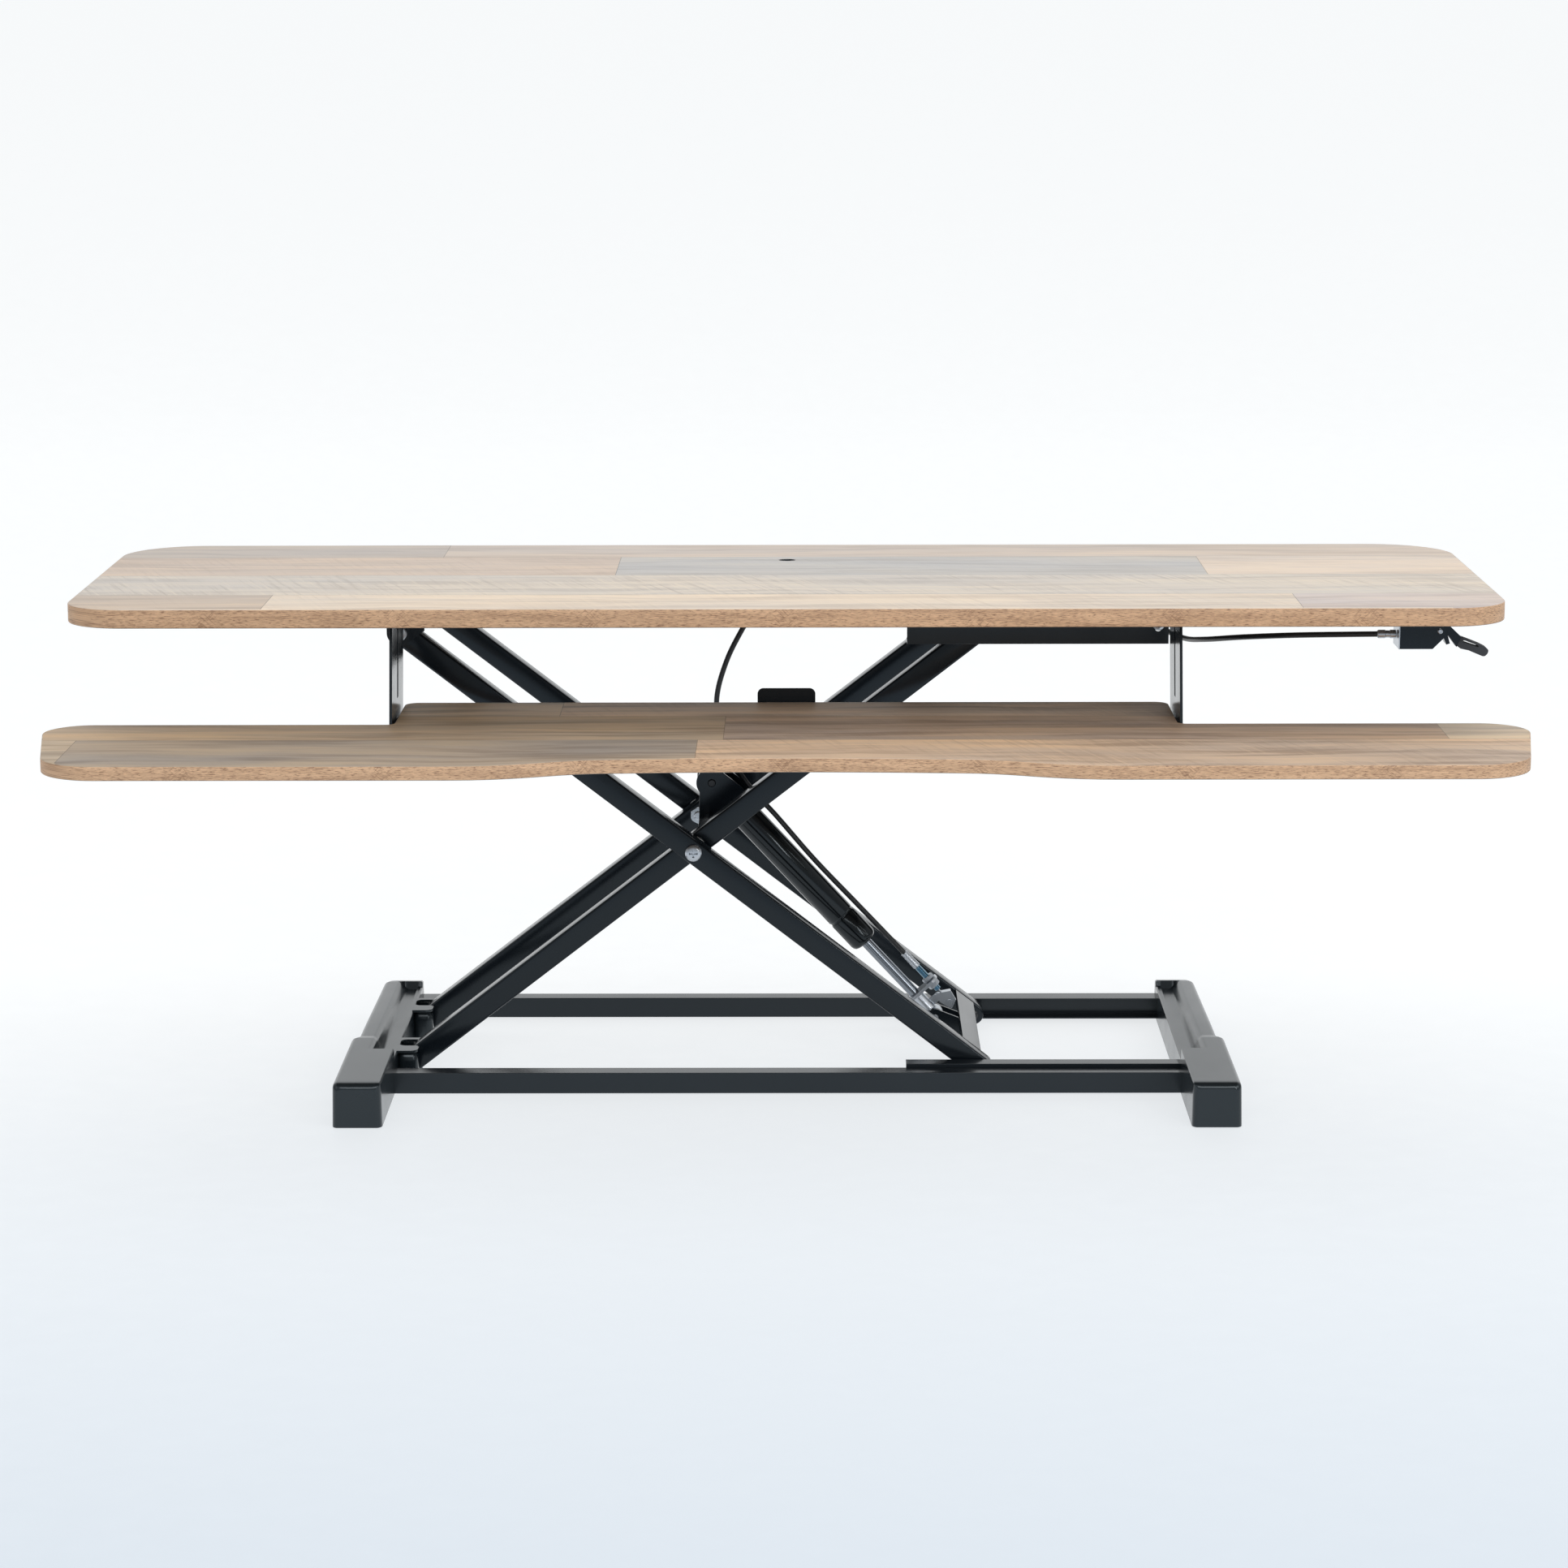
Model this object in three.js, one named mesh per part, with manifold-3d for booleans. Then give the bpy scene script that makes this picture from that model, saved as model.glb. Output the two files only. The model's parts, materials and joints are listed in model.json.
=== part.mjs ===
// Standing desk converter: a scissor lift that carries a desktop and a hanging keyboard tray.
// Millimetres, +Z up. The origin is on the supporting surface, under the middle of the object.
// -Y is the user's side. The lift stands at its usual working height.
import * as THREE from 'three';
import { mergeVertices } from 'three/addons/utils/BufferGeometryUtils.js';
import Module from 'manifold-3d';

const wasm = await Module();
wasm.setup();

// ---------------------------------------------------------------- driving dimensions

const GAP = 0.3; // between pieces that touch
const SLACK = 1; // beyond a face that a cutter runs past
const RUNNING_CLEARANCE = 0.3; // a hole's radius over its pin's

const overallDepth = 610;
const frontEnd = -overallDepth / 2;
const rearEnd = overallDepth / 2;

const board = {
  width: 1200, depth: 400, thickness: 16, top: 457,
  front: -157.5, frontRadius: 50, rearRadius: 70,
  holeRadius: 7.5, holeFromFront: 299,
};
const tray = {
  width: 1200, thickness: 12, belowBoardTop: 104,
  wingRear: -115, middleRear: -6, middleHalfWidth: 329, filletRadius: 8,
  frontRadius: 50, rearRadius: 38, middleRadius: 12,
  endFlare: 17, // the ends spread this much from the front corner to the rear one
  scoopHalfWidth: 268, scoopShoulder: 140, scoopDepth: 28, scoopCrown: 11,
};
const scissor = {
  middleY: 152, length: 645, leftX: -338,
  basePivotZ: 13, topPivotBelowTop: 50,
  tube: 20, wall: 1.5, innerPairFace: 65, outerPairFace: 90,
};
const base = {
  halfWidth: 390, footWidth: 43, footHeight: 39.5, shelfHeight: 29, footFront: -107, footStep: 5.5,
  railSize: 18.7, railZ: 1, wall: 1.5, sideBarGap: 5.3,
};
const pinRadius = 4;
const axleRadius = 3;
const roller = { radius: 7.8, width: 10, boreRadius: axleRadius + RUNNING_CLEARANCE };
const guide = { halfHeight: 8.2, lip: 1.6, baseDepth: 16, startX: 105, endX: 336 };
const topFrame = { railHeight: 19.8, railWidth: 20, halfLength: 348, plate: 2 };
const hanger = { x: 331, plate: 2.4, depth: 98, lean: 22, front: -112, flange: 30, slotWidth: 10 };
const spring = {
  eyeAlong: 39, eyeAcross: 27, footAlong: 278, footAcross: -5.5,
  cylinderRadius: 13, cylinderLength: 205, rodRadius: 5, eyeRadius: 13, ringGroove: 170,
};
const cableRadius = 2.4;
const handle = {
  x: 546, y: -105, z: 431, length: 34, cheekHalf: 12, plate: 2, leverHalf: 7.5, pinHoleRadius: 2.3,
};

// ---------------------------------------------------------------- worked-out places

const sides = [['front', -1], ['rear', 1]]; // of the middle plane of the scissor
const ends = [['left', -1], ['right', 1]];

const boardBottom = board.top - board.thickness;
const trayTop = board.top - tray.belowBoardTop;
const trayBottom = trayTop - tray.thickness;
const topPivotZ = board.top - scissor.topPivotBelowTop;
const liftAngle = Math.asin((topPivotZ - scissor.basePivotZ) / scissor.length);
const halfArm = scissor.length / 2;
const halfTube = scissor.tube / 2;
const crossing = new THREE.Vector3(
  scissor.leftX + halfArm * Math.cos(liftAngle),
  scissor.middleY,
  scissor.basePivotZ + halfArm * Math.sin(liftAngle),
);
const innerFaces = [scissor.innerPairFace, scissor.innerPairFace + scissor.tube];
const outerFaces = [scissor.outerPairFace, scissor.outerPairFace + scissor.tube];
const baseGuideInner = outerFaces[1] + 3;
const baseGuideOuter = baseGuideInner + guide.baseDepth;
const railInner = baseGuideOuter + GAP;
const topGuideInner = innerFaces[1] + 6;
const topGuideOuter = outerFaces[1] + 6;
const frameTop = boardBottom - GAP;
const frameBottom = frameTop - topFrame.railHeight;

// ---------------------------------------------------------------- materials

function finish(colour, roughness, metalness) {
  return new THREE.MeshStandardMaterial({ color: colour, roughness, metalness });
}
const laminate = finish(0xc2a78c, 0.55, 0);
const blackSteel = finish(0x1d2124, 0.45, 0.3);
const blackPlastic = finish(0x2c3033, 0.5, 0);
const glossBlack = finish(0x101214, 0.2, 0.2);
const zinc = finish(0xc9ccd0, 0.3, 0.9);
const chrome = finish(0xd8dadd, 0.12, 1);
const rubber = finish(0x26282a, 0.8, 0);

// ---------------------------------------------------------------- shape helpers

function solid(geometry) {
  geometry.deleteAttribute('normal');
  geometry.deleteAttribute('uv');
  const merged = mergeVertices(geometry, 1e-4);
  return new wasm.Manifold(new wasm.Mesh({
    numProp: 3,
    vertProperties: new Float32Array(merged.attributes.position.array),
    triVerts: new Uint32Array(merged.index.array),
  }));
}

function part(name, body, material, parent) {
  const { vertProperties, triVerts } = body.getMesh();
  const geometry = new THREE.BufferGeometry();
  geometry.setAttribute('position', new THREE.BufferAttribute(vertProperties, 3));
  geometry.setIndex(new THREE.BufferAttribute(triVerts, 1));
  geometry.computeVertexNormals();
  const mesh = new THREE.Mesh(geometry, material);
  mesh.name = name;
  parent.add(mesh);
}

function ordered(a, b) {
  return a < b ? [a, b] : [b, a];
}

// A box between two values on each axis, given in either order.
function box(xPair, yPair, zPair) {
  const [x, y, z] = [ordered(...xPair), ordered(...yPair), ordered(...zPair)];
  const geometry = new THREE.BoxGeometry(x[1] - x[0], y[1] - y[0], z[1] - z[0]);
  geometry.translate((x[0] + x[1]) / 2, (y[0] + y[1]) / 2, (z[0] + z[1]) / 2);
  return solid(geometry);
}

function shapeOf(points) {
  return new THREE.Shape(points.map(([x, y]) => new THREE.Vector2(x, y)));
}

function extrude(shape, depth, curveSegments = 8) {
  return new THREE.ExtrudeGeometry(shape, { depth, bevelEnabled: false, curveSegments });
}

// An outline drawn in the XY plane, from one height to another.
function planPlate(shape, z0, z1, curveSegments) {
  const geometry = extrude(shape, z1 - z0, curveSegments);
  geometry.translate(0, 0, z0);
  return solid(geometry);
}

// An outline drawn in the XZ plane, between two values of Y.
function sidePlate(shape, yPair, curveSegments) {
  const [y0, y1] = ordered(...yPair);
  const geometry = extrude(shape, y1 - y0, curveSegments);
  geometry.rotateX(Math.PI / 2);
  geometry.translate(0, y1, 0);
  return solid(geometry);
}

// A section drawn in the YZ plane, between two values of X.
function bar(shape, xPair) {
  const [x0, x1] = ordered(...xPair);
  const geometry = extrude(shape, x1 - x0);
  const toYZ = new THREE.Matrix4().makeBasis(
    new THREE.Vector3(0, 1, 0), new THREE.Vector3(0, 0, 1), new THREE.Vector3(1, 0, 0),
  );
  geometry.applyMatrix4(toYZ);
  geometry.translate(x0, 0, 0);
  return solid(geometry);
}

function cylinderY(radius, yPair, x = 0, z = 0, segments = 16) {
  const [y0, y1] = ordered(...yPair);
  const geometry = new THREE.CylinderGeometry(radius, radius, y1 - y0, segments);
  geometry.translate(x, (y0 + y1) / 2, z);
  return solid(geometry);
}

function cylinderX(radius, xPair, y = 0, z = 0, segments = 16) {
  const [x0, x1] = ordered(...xPair);
  const geometry = new THREE.CylinderGeometry(radius, radius, x1 - x0, segments);
  geometry.rotateZ(Math.PI / 2);
  geometry.translate((x0 + x1) / 2, y, z);
  return solid(geometry);
}

// A turned piece: [distance along X, radius] pairs, from one end to the other.
function turnedX(profile, segments = 20) {
  const first = profile[0][0];
  const last = profile[profile.length - 1][0];
  const points = [[first, 0], ...profile, [last, 0]].map(([x, r]) => new THREE.Vector2(r, x));
  const geometry = new THREE.LatheGeometry(points, segments);
  geometry.rotateZ(-Math.PI / 2);
  return solid(geometry);
}

// A square tube's section, centred on a point.
function tubeSection(centreX, centreY, width, height, wall) {
  const ring = (w, h) => [[-w, -h], [w, -h], [w, h], [-w, h]].map(
    ([x, y]) => new THREE.Vector2(centreX + x / 2, centreY + y / 2),
  );
  const shape = new THREE.Shape(ring(width, height));
  shape.holes.push(new THREE.Path(ring(width - 2 * wall, height - 2 * wall)));
  return shape;
}

// A bar with round ends, centred on the origin.
function stadium(pitch, radius) {
  const shape = new THREE.Shape();
  shape.absarc(pitch / 2, 0, radius, -Math.PI / 2, Math.PI / 2);
  shape.absarc(-pitch / 2, 0, radius, Math.PI / 2, Math.PI * 1.5);
  return shape;
}

function roundedPlan(halfWidth, front, rear, frontRadius, rearRadius) {
  const shape = new THREE.Shape();
  const right = Math.PI * 2;
  shape.absarc(-halfWidth + frontRadius, front + frontRadius, frontRadius, Math.PI, Math.PI * 1.5);
  shape.absarc(halfWidth - frontRadius, front + frontRadius, frontRadius, Math.PI * 1.5, right);
  shape.absarc(halfWidth - rearRadius, rear - rearRadius, rearRadius, 0, Math.PI / 2);
  shape.absarc(-halfWidth + rearRadius, rear - rearRadius, rearRadius, Math.PI / 2, Math.PI);
  return shape;
}

// ---------------------------------------------------------------- assembly frames

const converter = new THREE.Group();

function frameAt(x, y, z, pitch = 0) {
  const group = new THREE.Group();
  group.position.set(x, y, z);
  group.rotation.y = pitch;
  converter.add(group);
  return group;
}

// Inside these, X runs along the arm, Z across it, and Y from the scissor's middle plane.
const middle = frameAt(0, scissor.middleY, 0);
const armA = frameAt(crossing.x, crossing.y, crossing.z, -liftAngle);
const armB = frameAt(crossing.x, crossing.y, crossing.z, liftAngle);

// ---------------------------------------------------------------- boards

function makeBoard() {
  const rear = board.front + board.depth;
  const plan = roundedPlan(board.width / 2, board.front, rear, board.frontRadius, board.rearRadius);
  const holeY = board.front + board.holeFromFront;
  const hole = new THREE.CylinderGeometry(board.holeRadius, board.holeRadius, board.top, 32);
  hole.rotateX(Math.PI / 2);
  hole.translate(0, holeY, board.top);
  part('top_board', planPlate(plan, boardBottom, board.top, 10).subtract(solid(hole)), laminate, converter);
}

function trayPlan() {
  const half = tray.width / 2;
  const { frontRadius, rearRadius, middleRadius, filletRadius, middleHalfWidth } = tray;
  const shape = new THREE.Shape();
  const frontX = half - frontRadius;
  const rearX = half + tray.endFlare - rearRadius;
  const frontY = frontEnd + frontRadius;
  const rearY = tray.wingRear - rearRadius;
  // The straight part of each end touches both corner arcs, so it leans by this angle.
  const apart = Math.hypot(rearX - frontX, rearY - frontY);
  const slant = Math.acos((frontRadius - rearRadius) / apart) - Math.atan2(rearY - frontY, rearX - frontX);
  shape.absarc(-frontX, frontY, frontRadius, Math.PI + slant, Math.PI * 1.5);
  const shoulderY = frontEnd + tray.scoopDepth;
  const easing = (tray.scoopHalfWidth - tray.scoopShoulder) / 2;
  shape.lineTo(-tray.scoopHalfWidth, frontEnd);
  shape.bezierCurveTo(
    -tray.scoopHalfWidth + easing, frontEnd,
    -tray.scoopShoulder - easing * 0.8, shoulderY - 2,
    -tray.scoopShoulder, shoulderY,
  );
  shape.quadraticCurveTo(0, shoulderY + tray.scoopCrown, tray.scoopShoulder, shoulderY);
  shape.bezierCurveTo(
    tray.scoopShoulder + easing * 0.8, shoulderY - 2,
    tray.scoopHalfWidth - easing, frontEnd,
    tray.scoopHalfWidth, frontEnd,
  );
  shape.absarc(frontX, frontY, frontRadius, -Math.PI / 2, -slant);
  shape.absarc(rearX, rearY, rearRadius, -slant, Math.PI / 2);
  const filletX = middleHalfWidth + filletRadius;
  const filletY = tray.wingRear + filletRadius;
  shape.absarc(filletX, filletY, filletRadius, -Math.PI / 2, -Math.PI, true);
  const cornerX = middleHalfWidth - middleRadius;
  const cornerY = tray.middleRear - middleRadius;
  shape.absarc(cornerX, cornerY, middleRadius, 0, Math.PI / 2);
  shape.absarc(-cornerX, cornerY, middleRadius, Math.PI / 2, Math.PI);
  shape.absarc(-filletX, filletY, filletRadius, 0, -Math.PI / 2, true);
  shape.absarc(-rearX, rearY, rearRadius, Math.PI / 2, Math.PI + slant);
  return shape;
}

function makeTray() {
  part('keyboard_tray', planPlate(trayPlan(), trayBottom, trayTop, 10), laminate, converter);

  const plate = 2;
  const halfTab = 25;
  const tabFoot = 24;
  const tabRise = 12;
  const rear = tray.middleRear + GAP;
  const corner = 5;
  const tabTop = trayTop + tabRise;
  const outline = new THREE.Shape();
  outline.moveTo(-halfTab, trayBottom - GAP - plate);
  outline.lineTo(halfTab, trayBottom - GAP - plate);
  outline.absarc(halfTab - corner, tabTop - corner, corner, 0, Math.PI / 2);
  outline.absarc(corner - halfTab, tabTop - corner, corner, Math.PI / 2, Math.PI);
  const upright = sidePlate(outline, [rear, rear + plate], 4);
  const foot = box(
    [-halfTab, halfTab], [rear - tabFoot, rear + plate / 2], [trayBottom - GAP - plate, trayBottom - GAP],
  );
  part('tray_back_tab', upright.add(foot), blackSteel, converter);
}

// A leaning steel plate on each side, with flanges under the board and under the tray.
function makeHangers() {
  const { x, plate, depth, lean, front, flange, slotWidth } = hanger;
  const bottom = trayBottom - GAP - plate;
  for (const [end, sign] of ends) {
    const upright = bar(shapeOf([
      [front, bottom], [front + depth, bottom],
      [front + depth + lean, frameTop], [front + lean, frameTop],
    ]), [sign * x, sign * (x + plate)]);
    const inward = [sign * (x - flange), sign * (x + plate)];
    const upper = box(inward, [front + lean, front + lean + depth], [frameTop - plate, frameTop]);
    const lower = box(inward, [front, front + depth], [bottom, bottom + plate]);
    const slotCentre = front + depth / 2;
    const slotFoot = bottom + 28;
    const slotHead = frameTop - 16;
    const slotLean = (z) => lean * (z - bottom) / (frameTop - bottom);
    const slot = bar(shapeOf([
      [slotCentre + slotLean(slotFoot) - slotWidth / 2, slotFoot],
      [slotCentre + slotLean(slotFoot) + slotWidth / 2, slotFoot],
      [slotCentre + slotLean(slotHead) + slotWidth / 2, slotHead],
      [slotCentre + slotLean(slotHead) - slotWidth / 2, slotHead],
    ]), [sign * (x - SLACK), sign * (x + plate + SLACK)]);
    part(`tray_hanger_${end}`, upright.subtract(slot).add(upper).add(lower), blackSteel, converter);
  }
}

// ---------------------------------------------------------------- frame under the board

function makeTopFrame() {
  const { railWidth, railHeight, halfLength, plate } = topFrame;
  const railCentre = outerFaces[0] + 2 + railWidth / 2;
  const railZ = frameTop - railHeight / 2;
  const sideRailLength = railCentre - railWidth / 2 - GAP;
  for (const [side, sign] of sides) {
    const section = tubeSection(sign * railCentre, railZ, railWidth, railHeight, scissor.wall);
    part(`top_rail_${side}`, bar(section, [-halfLength, halfLength]), blackSteel, middle);

    const [lower, upper] = [topPivotZ - guide.halfHeight, topPivotZ + guide.halfHeight];
    const channel = shapeOf([
      [topGuideOuter, lower - plate], [topGuideInner, lower - plate], [topGuideInner, lower],
      [topGuideOuter - plate, lower], [topGuideOuter - plate, upper], [topGuideInner, upper],
      [topGuideInner, upper + plate], [topGuideOuter - plate, upper + plate],
      [topGuideOuter - plate, frameTop], [topGuideOuter, frameTop],
    ].map(([y, z]) => [sign * y, z]));
    const stop = { x: 324, z: topPivotZ + 4, shank: 3, head: 6 };
    const hole = cylinderY(
      stop.shank + RUNNING_CLEARANCE,
      [sign * (topGuideOuter - plate - SLACK), sign * (topGuideOuter + SLACK)], stop.x, stop.z, 16,
    );
    const track = bar(channel, [guide.startX, guide.endX - 3]).subtract(hole);
    part(`top_guide_${side}`, track, blackSteel, middle);
    if (side === 'front') {
      const shankY = [sign * (topGuideInner + 6), sign * (topGuideOuter + 1)];
      const shank = cylinderY(stop.shank, shankY, stop.x, stop.z, 16);
      const headY = topGuideOuter + GAP;
      const head = cylinderY(stop.head, [sign * headY, sign * (headY + 3)], stop.x, stop.z, 20);
      part('roller_stop_bolt', shank.add(head), zinc, middle);
    }
  }
  for (const [end, sign] of ends) {
    const width = topFrame.railWidth;
    const tube = box(
      [sign * (halfLength - width), sign * halfLength],
      [-sideRailLength, sideRailLength], [frameBottom, frameTop],
    );
    const inset = scissor.wall;
    const hollow = box(
      [sign * (halfLength - width + inset), sign * (halfLength - inset)],
      [-sideRailLength - SLACK, sideRailLength + SLACK], [frameBottom + inset, frameTop - inset],
    );
    part(`top_side_rail_${end}`, tube.subtract(hollow), blackSteel, middle);
  }
}

// Inverted U brackets that hold the upper left ends of the outer arms, each with its pivot pin.
function makeTopPivots() {
  const sheet = 2.3;
  const reach = 11;
  const x = scissor.leftX;
  const top = frameBottom - GAP;
  const outline = new THREE.Shape();
  outline.absarc(x, topPivotZ, reach, Math.PI, Math.PI * 1.75);
  outline.lineTo(x + 22, topPivotZ + 2);
  outline.lineTo(x + 22, top);
  outline.lineTo(x - reach, top);
  const inner = outerFaces[0] - 1.3;
  const outer = outerFaces[1] + 2.3;
  for (const [side, sign] of sides) {
    const block = sidePlate(outline, [sign * (inner - sheet), sign * (outer + sheet)]);
    const space = box(
      [x - reach - SLACK, x + 22 + SLACK], [sign * inner, sign * outer], [topPivotZ - 20, top - sheet],
    );
    const across = [sign * (inner - 2 * sheet), sign * (outer + 2 * sheet)];
    const bore = cylinderY(pinRadius + RUNNING_CLEARANCE, across, x, topPivotZ);
    part(`top_pivot_bracket_${side}`, block.subtract(space).subtract(bore), blackSteel, middle);

    const headY = outer + sheet + GAP;
    const pin = cylinderY(pinRadius, [sign * (inner - sheet), sign * (headY + 1)], x, topPivotZ);
    const head = cylinderY(7, [sign * headY, sign * (headY + 3)], x, topPivotZ);
    part(`top_pivot_pin_${side}`, pin.add(head), zinc, middle);
  }
}

// ---------------------------------------------------------------- base

const railTopZ = base.railZ + base.railSize;
const baseGuideTop = scissor.basePivotZ + guide.halfHeight + guide.lip;
const footInnerX = base.halfWidth - base.footWidth;
const footWall = 3;
const cavityTop = 20.5;

function footPlan(sign) {
  const outer = base.halfWidth;
  const nose = 9;
  const heel = 20;
  const stepStart = base.footFront + 158;
  const shape = new THREE.Shape([
    [footInnerX, base.footFront + nose], [footInnerX + nose * 0.4, base.footFront + 2],
    [footInnerX + nose, base.footFront], [outer - nose, base.footFront],
    [outer - nose * 0.4, base.footFront + 2], [outer, base.footFront + nose],
    [outer, stepStart], [outer - base.footStep, stepStart + 14],
    [outer - base.footStep, rearEnd - heel], [outer - base.footStep - 6, rearEnd - 6],
    [outer - base.footStep - heel, rearEnd], [footInnerX + 4, rearEnd], [footInnerX, rearEnd - 4],
  ].map(([x, y]) => new THREE.Vector2(sign * x, y)));
  return shape;
}

// A yoke on the left foot's inner side: a hollow-looking column, a slot for the arm and a thin wall.
const yoke = { column: 19, slotSide: 1, wall: 7, reachX: -320 };

function addYoke(cover, armStart) {
  const y0 = scissor.middleY + armStart - yoke.slotSide - yoke.column;
  const slotY = [y0 + yoke.column, y0 + yoke.column + scissor.tube + 2 * yoke.slotSide];
  const y1 = slotY[1] + yoke.wall;
  const radius = 7;
  const shape = new THREE.Shape();
  shape.moveTo(-footInnerX - 1, y0);
  shape.lineTo(yoke.reachX - radius, y0);
  shape.absarc(yoke.reachX - radius, y0 + radius, radius, -Math.PI / 2, 0);
  shape.lineTo(yoke.reachX, y1);
  shape.lineTo(-footInnerX - 1, y1);
  const block = planPlate(shape, 0.5, base.shelfHeight, 5);
  const slot = box([-footInnerX - 2.5, yoke.reachX + SLACK], slotY, [-SLACK, base.shelfHeight + SLACK]);
  const bore = cylinderY(
    pinRadius + RUNNING_CLEARANCE, [y0 - SLACK, y1 + SLACK], scissor.leftX, scissor.basePivotZ,
  );
  return cover.add(block).subtract(slot).subtract(bore);
}

function makeFeet() {
  for (const [end, sign] of ends) {
    let cover = planPlate(footPlan(sign), 0.5, base.footHeight);
    const cavity = box(
      [sign * (footInnerX + footWall), sign * (base.halfWidth - base.footStep - footWall)],
      [base.footFront + 12, rearEnd - 4], [-SLACK, cavityTop],
    );
    cover = cover.subtract(cavity);
    const groove = { depth: 2.5, inner: 5, outer: 18, start: base.footFront + 122, end: rearEnd - 14 };
    const grooveFloor = base.shelfHeight - groove.depth;
    for (const [from, floor] of [[-SLACK, base.shelfHeight], [groove.inner, grooveFloor]]) {
      cover = cover.subtract(box(
        [sign * (footInnerX + from), sign * (footInnerX + groove.outer)],
        [groove.start, groove.end], [floor, base.footHeight + SLACK],
      ));
    }
    for (const [, side] of sides) {
      const railY = [side * (railInner - 0.5), side * (railInner + base.railSize + 0.5)];
      cover = cover.subtract(box(
        [sign * (footInnerX - 1), sign * (footInnerX + footWall + 1)],
        railY.map((y) => scissor.middleY + y), [-SLACK, railTopZ + 0.5],
      ));
    }
    if (end === 'left') {
      cover = addYoke(cover, -innerFaces[1]);
      cover = addYoke(cover, innerFaces[0]);
    } else {
      for (const [, side] of sides) {
        const guideY = [side * (baseGuideInner - 0.5), side * (railInner + 0.5)];
        cover = cover.subtract(box(
          [footInnerX - 1, footInnerX + footWall + 1],
          guideY.map((y) => scissor.middleY + y), [-SLACK, baseGuideTop + 0.5],
        ));
      }
    }
    part(`foot_cover_${end}`, cover, blackPlastic, converter);

    const barX = [sign * (footInnerX + base.sideBarGap), sign * (base.halfWidth - base.footStep - 7)];
    const sideBar = box(barX, [base.footFront + 16, rearEnd - 5], [3, 19]);
    part(`base_side_bar_${end}`, sideBar, blackSteel, converter);

    const padX = [sign * (footInnerX + 8), sign * (base.halfWidth - 14)];
    const padLength = 40;
    for (const [side, padY] of [['front', base.footFront + 20], ['rear', rearEnd - 18 - padLength]]) {
      const pad = box(padX, [padY, padY + padLength], [0, 3 - GAP]);
      part(`rubber_pad_${side}_${end}`, pad, rubber, converter);
    }
  }
}

function makeBaseRails() {
  const halfLength = footInnerX + base.sideBarGap - GAP;
  const guideBottom = scissor.basePivotZ - guide.halfHeight;
  const guideTop = scissor.basePivotZ + guide.halfHeight;
  for (const [side, sign] of sides) {
    const size = base.railSize;
    const centre = sign * (railInner + size / 2);
    const section = tubeSection(centre, base.railZ + size / 2, size, size, base.wall);
    part(`base_rail_${side}`, bar(section, [-halfLength, halfLength]), blackSteel, middle);

    const channel = shapeOf([
      [baseGuideOuter, guideBottom - guide.lip], [baseGuideInner, guideBottom - guide.lip],
      [baseGuideInner, guideBottom], [baseGuideOuter - guide.lip, guideBottom],
      [baseGuideOuter - guide.lip, guideTop], [baseGuideInner, guideTop],
      [baseGuideInner, baseGuideTop], [baseGuideOuter, baseGuideTop],
    ].map(([y, z]) => [sign * y, z]));
    part(`base_guide_${side}`, bar(channel, [guide.startX, footInnerX + 2]), blackSteel, middle);
  }
}

function makeBasePins() {
  const starts = { front: -innerFaces[1], rear: innerFaces[0] };
  for (const [side] of sides) {
    const from = starts[side] - yoke.slotSide - yoke.column + 3;
    const to = starts[side] + scissor.tube + yoke.slotSide + yoke.wall - 2;
    const pin = cylinderY(pinRadius, [from, to], scissor.leftX, scissor.basePivotZ);
    part(`base_pivot_pin_${side}`, pin, zinc, middle);
  }
}

// ---------------------------------------------------------------- scissor

function makeArm(name, faces, sign, frame, freeEndBore) {
  const y = [sign * faces[0], sign * faces[1]];
  let arm = sidePlate(stadium(scissor.length, halfTube), y, 8);
  const inside = halfTube - scissor.wall;
  const innerY = [sign * (faces[0] + scissor.wall), sign * (faces[1] - scissor.wall)];
  const reach = halfArm + halfTube + SLACK;
  arm = arm.subtract(box([-reach, reach], innerY, [-inside, inside]));
  const through = [sign * (faces[0] - SLACK), sign * (faces[1] + SLACK)];
  arm = arm.subtract(cylinderY(pinRadius + RUNNING_CLEARANCE, through, -halfArm));
  arm = arm.subtract(cylinderY(pinRadius + RUNNING_CLEARANCE, through, 0));
  arm = arm.subtract(cylinderY(freeEndBore, through, halfArm));
  part(name, arm, blackSteel, frame);
}

// A roller at an arm's free end, on an axle whose head is on the arm's other face.
function makeRoller(name, faces, sign, frame, offset) {
  const y0 = faces[1] + offset;
  const y1 = y0 + roller.width;
  const wheel = cylinderY(roller.radius, [sign * y0, sign * y1], halfArm, 0, 24)
    .subtract(cylinderY(roller.boreRadius, [sign * (y0 - SLACK), sign * (y1 + SLACK)], halfArm));
  part(`roller_${name}`, wheel, blackPlastic, frame);
  const headY = faces[0] - GAP;
  const axle = cylinderY(axleRadius, [sign * (headY - 1), sign * (y1 + 1)], halfArm)
    .add(cylinderY(axleRadius + 2, [sign * (headY - 2.4), sign * headY], halfArm));
  part(`roller_axle_${name}`, axle, zinc, frame);
}

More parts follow.
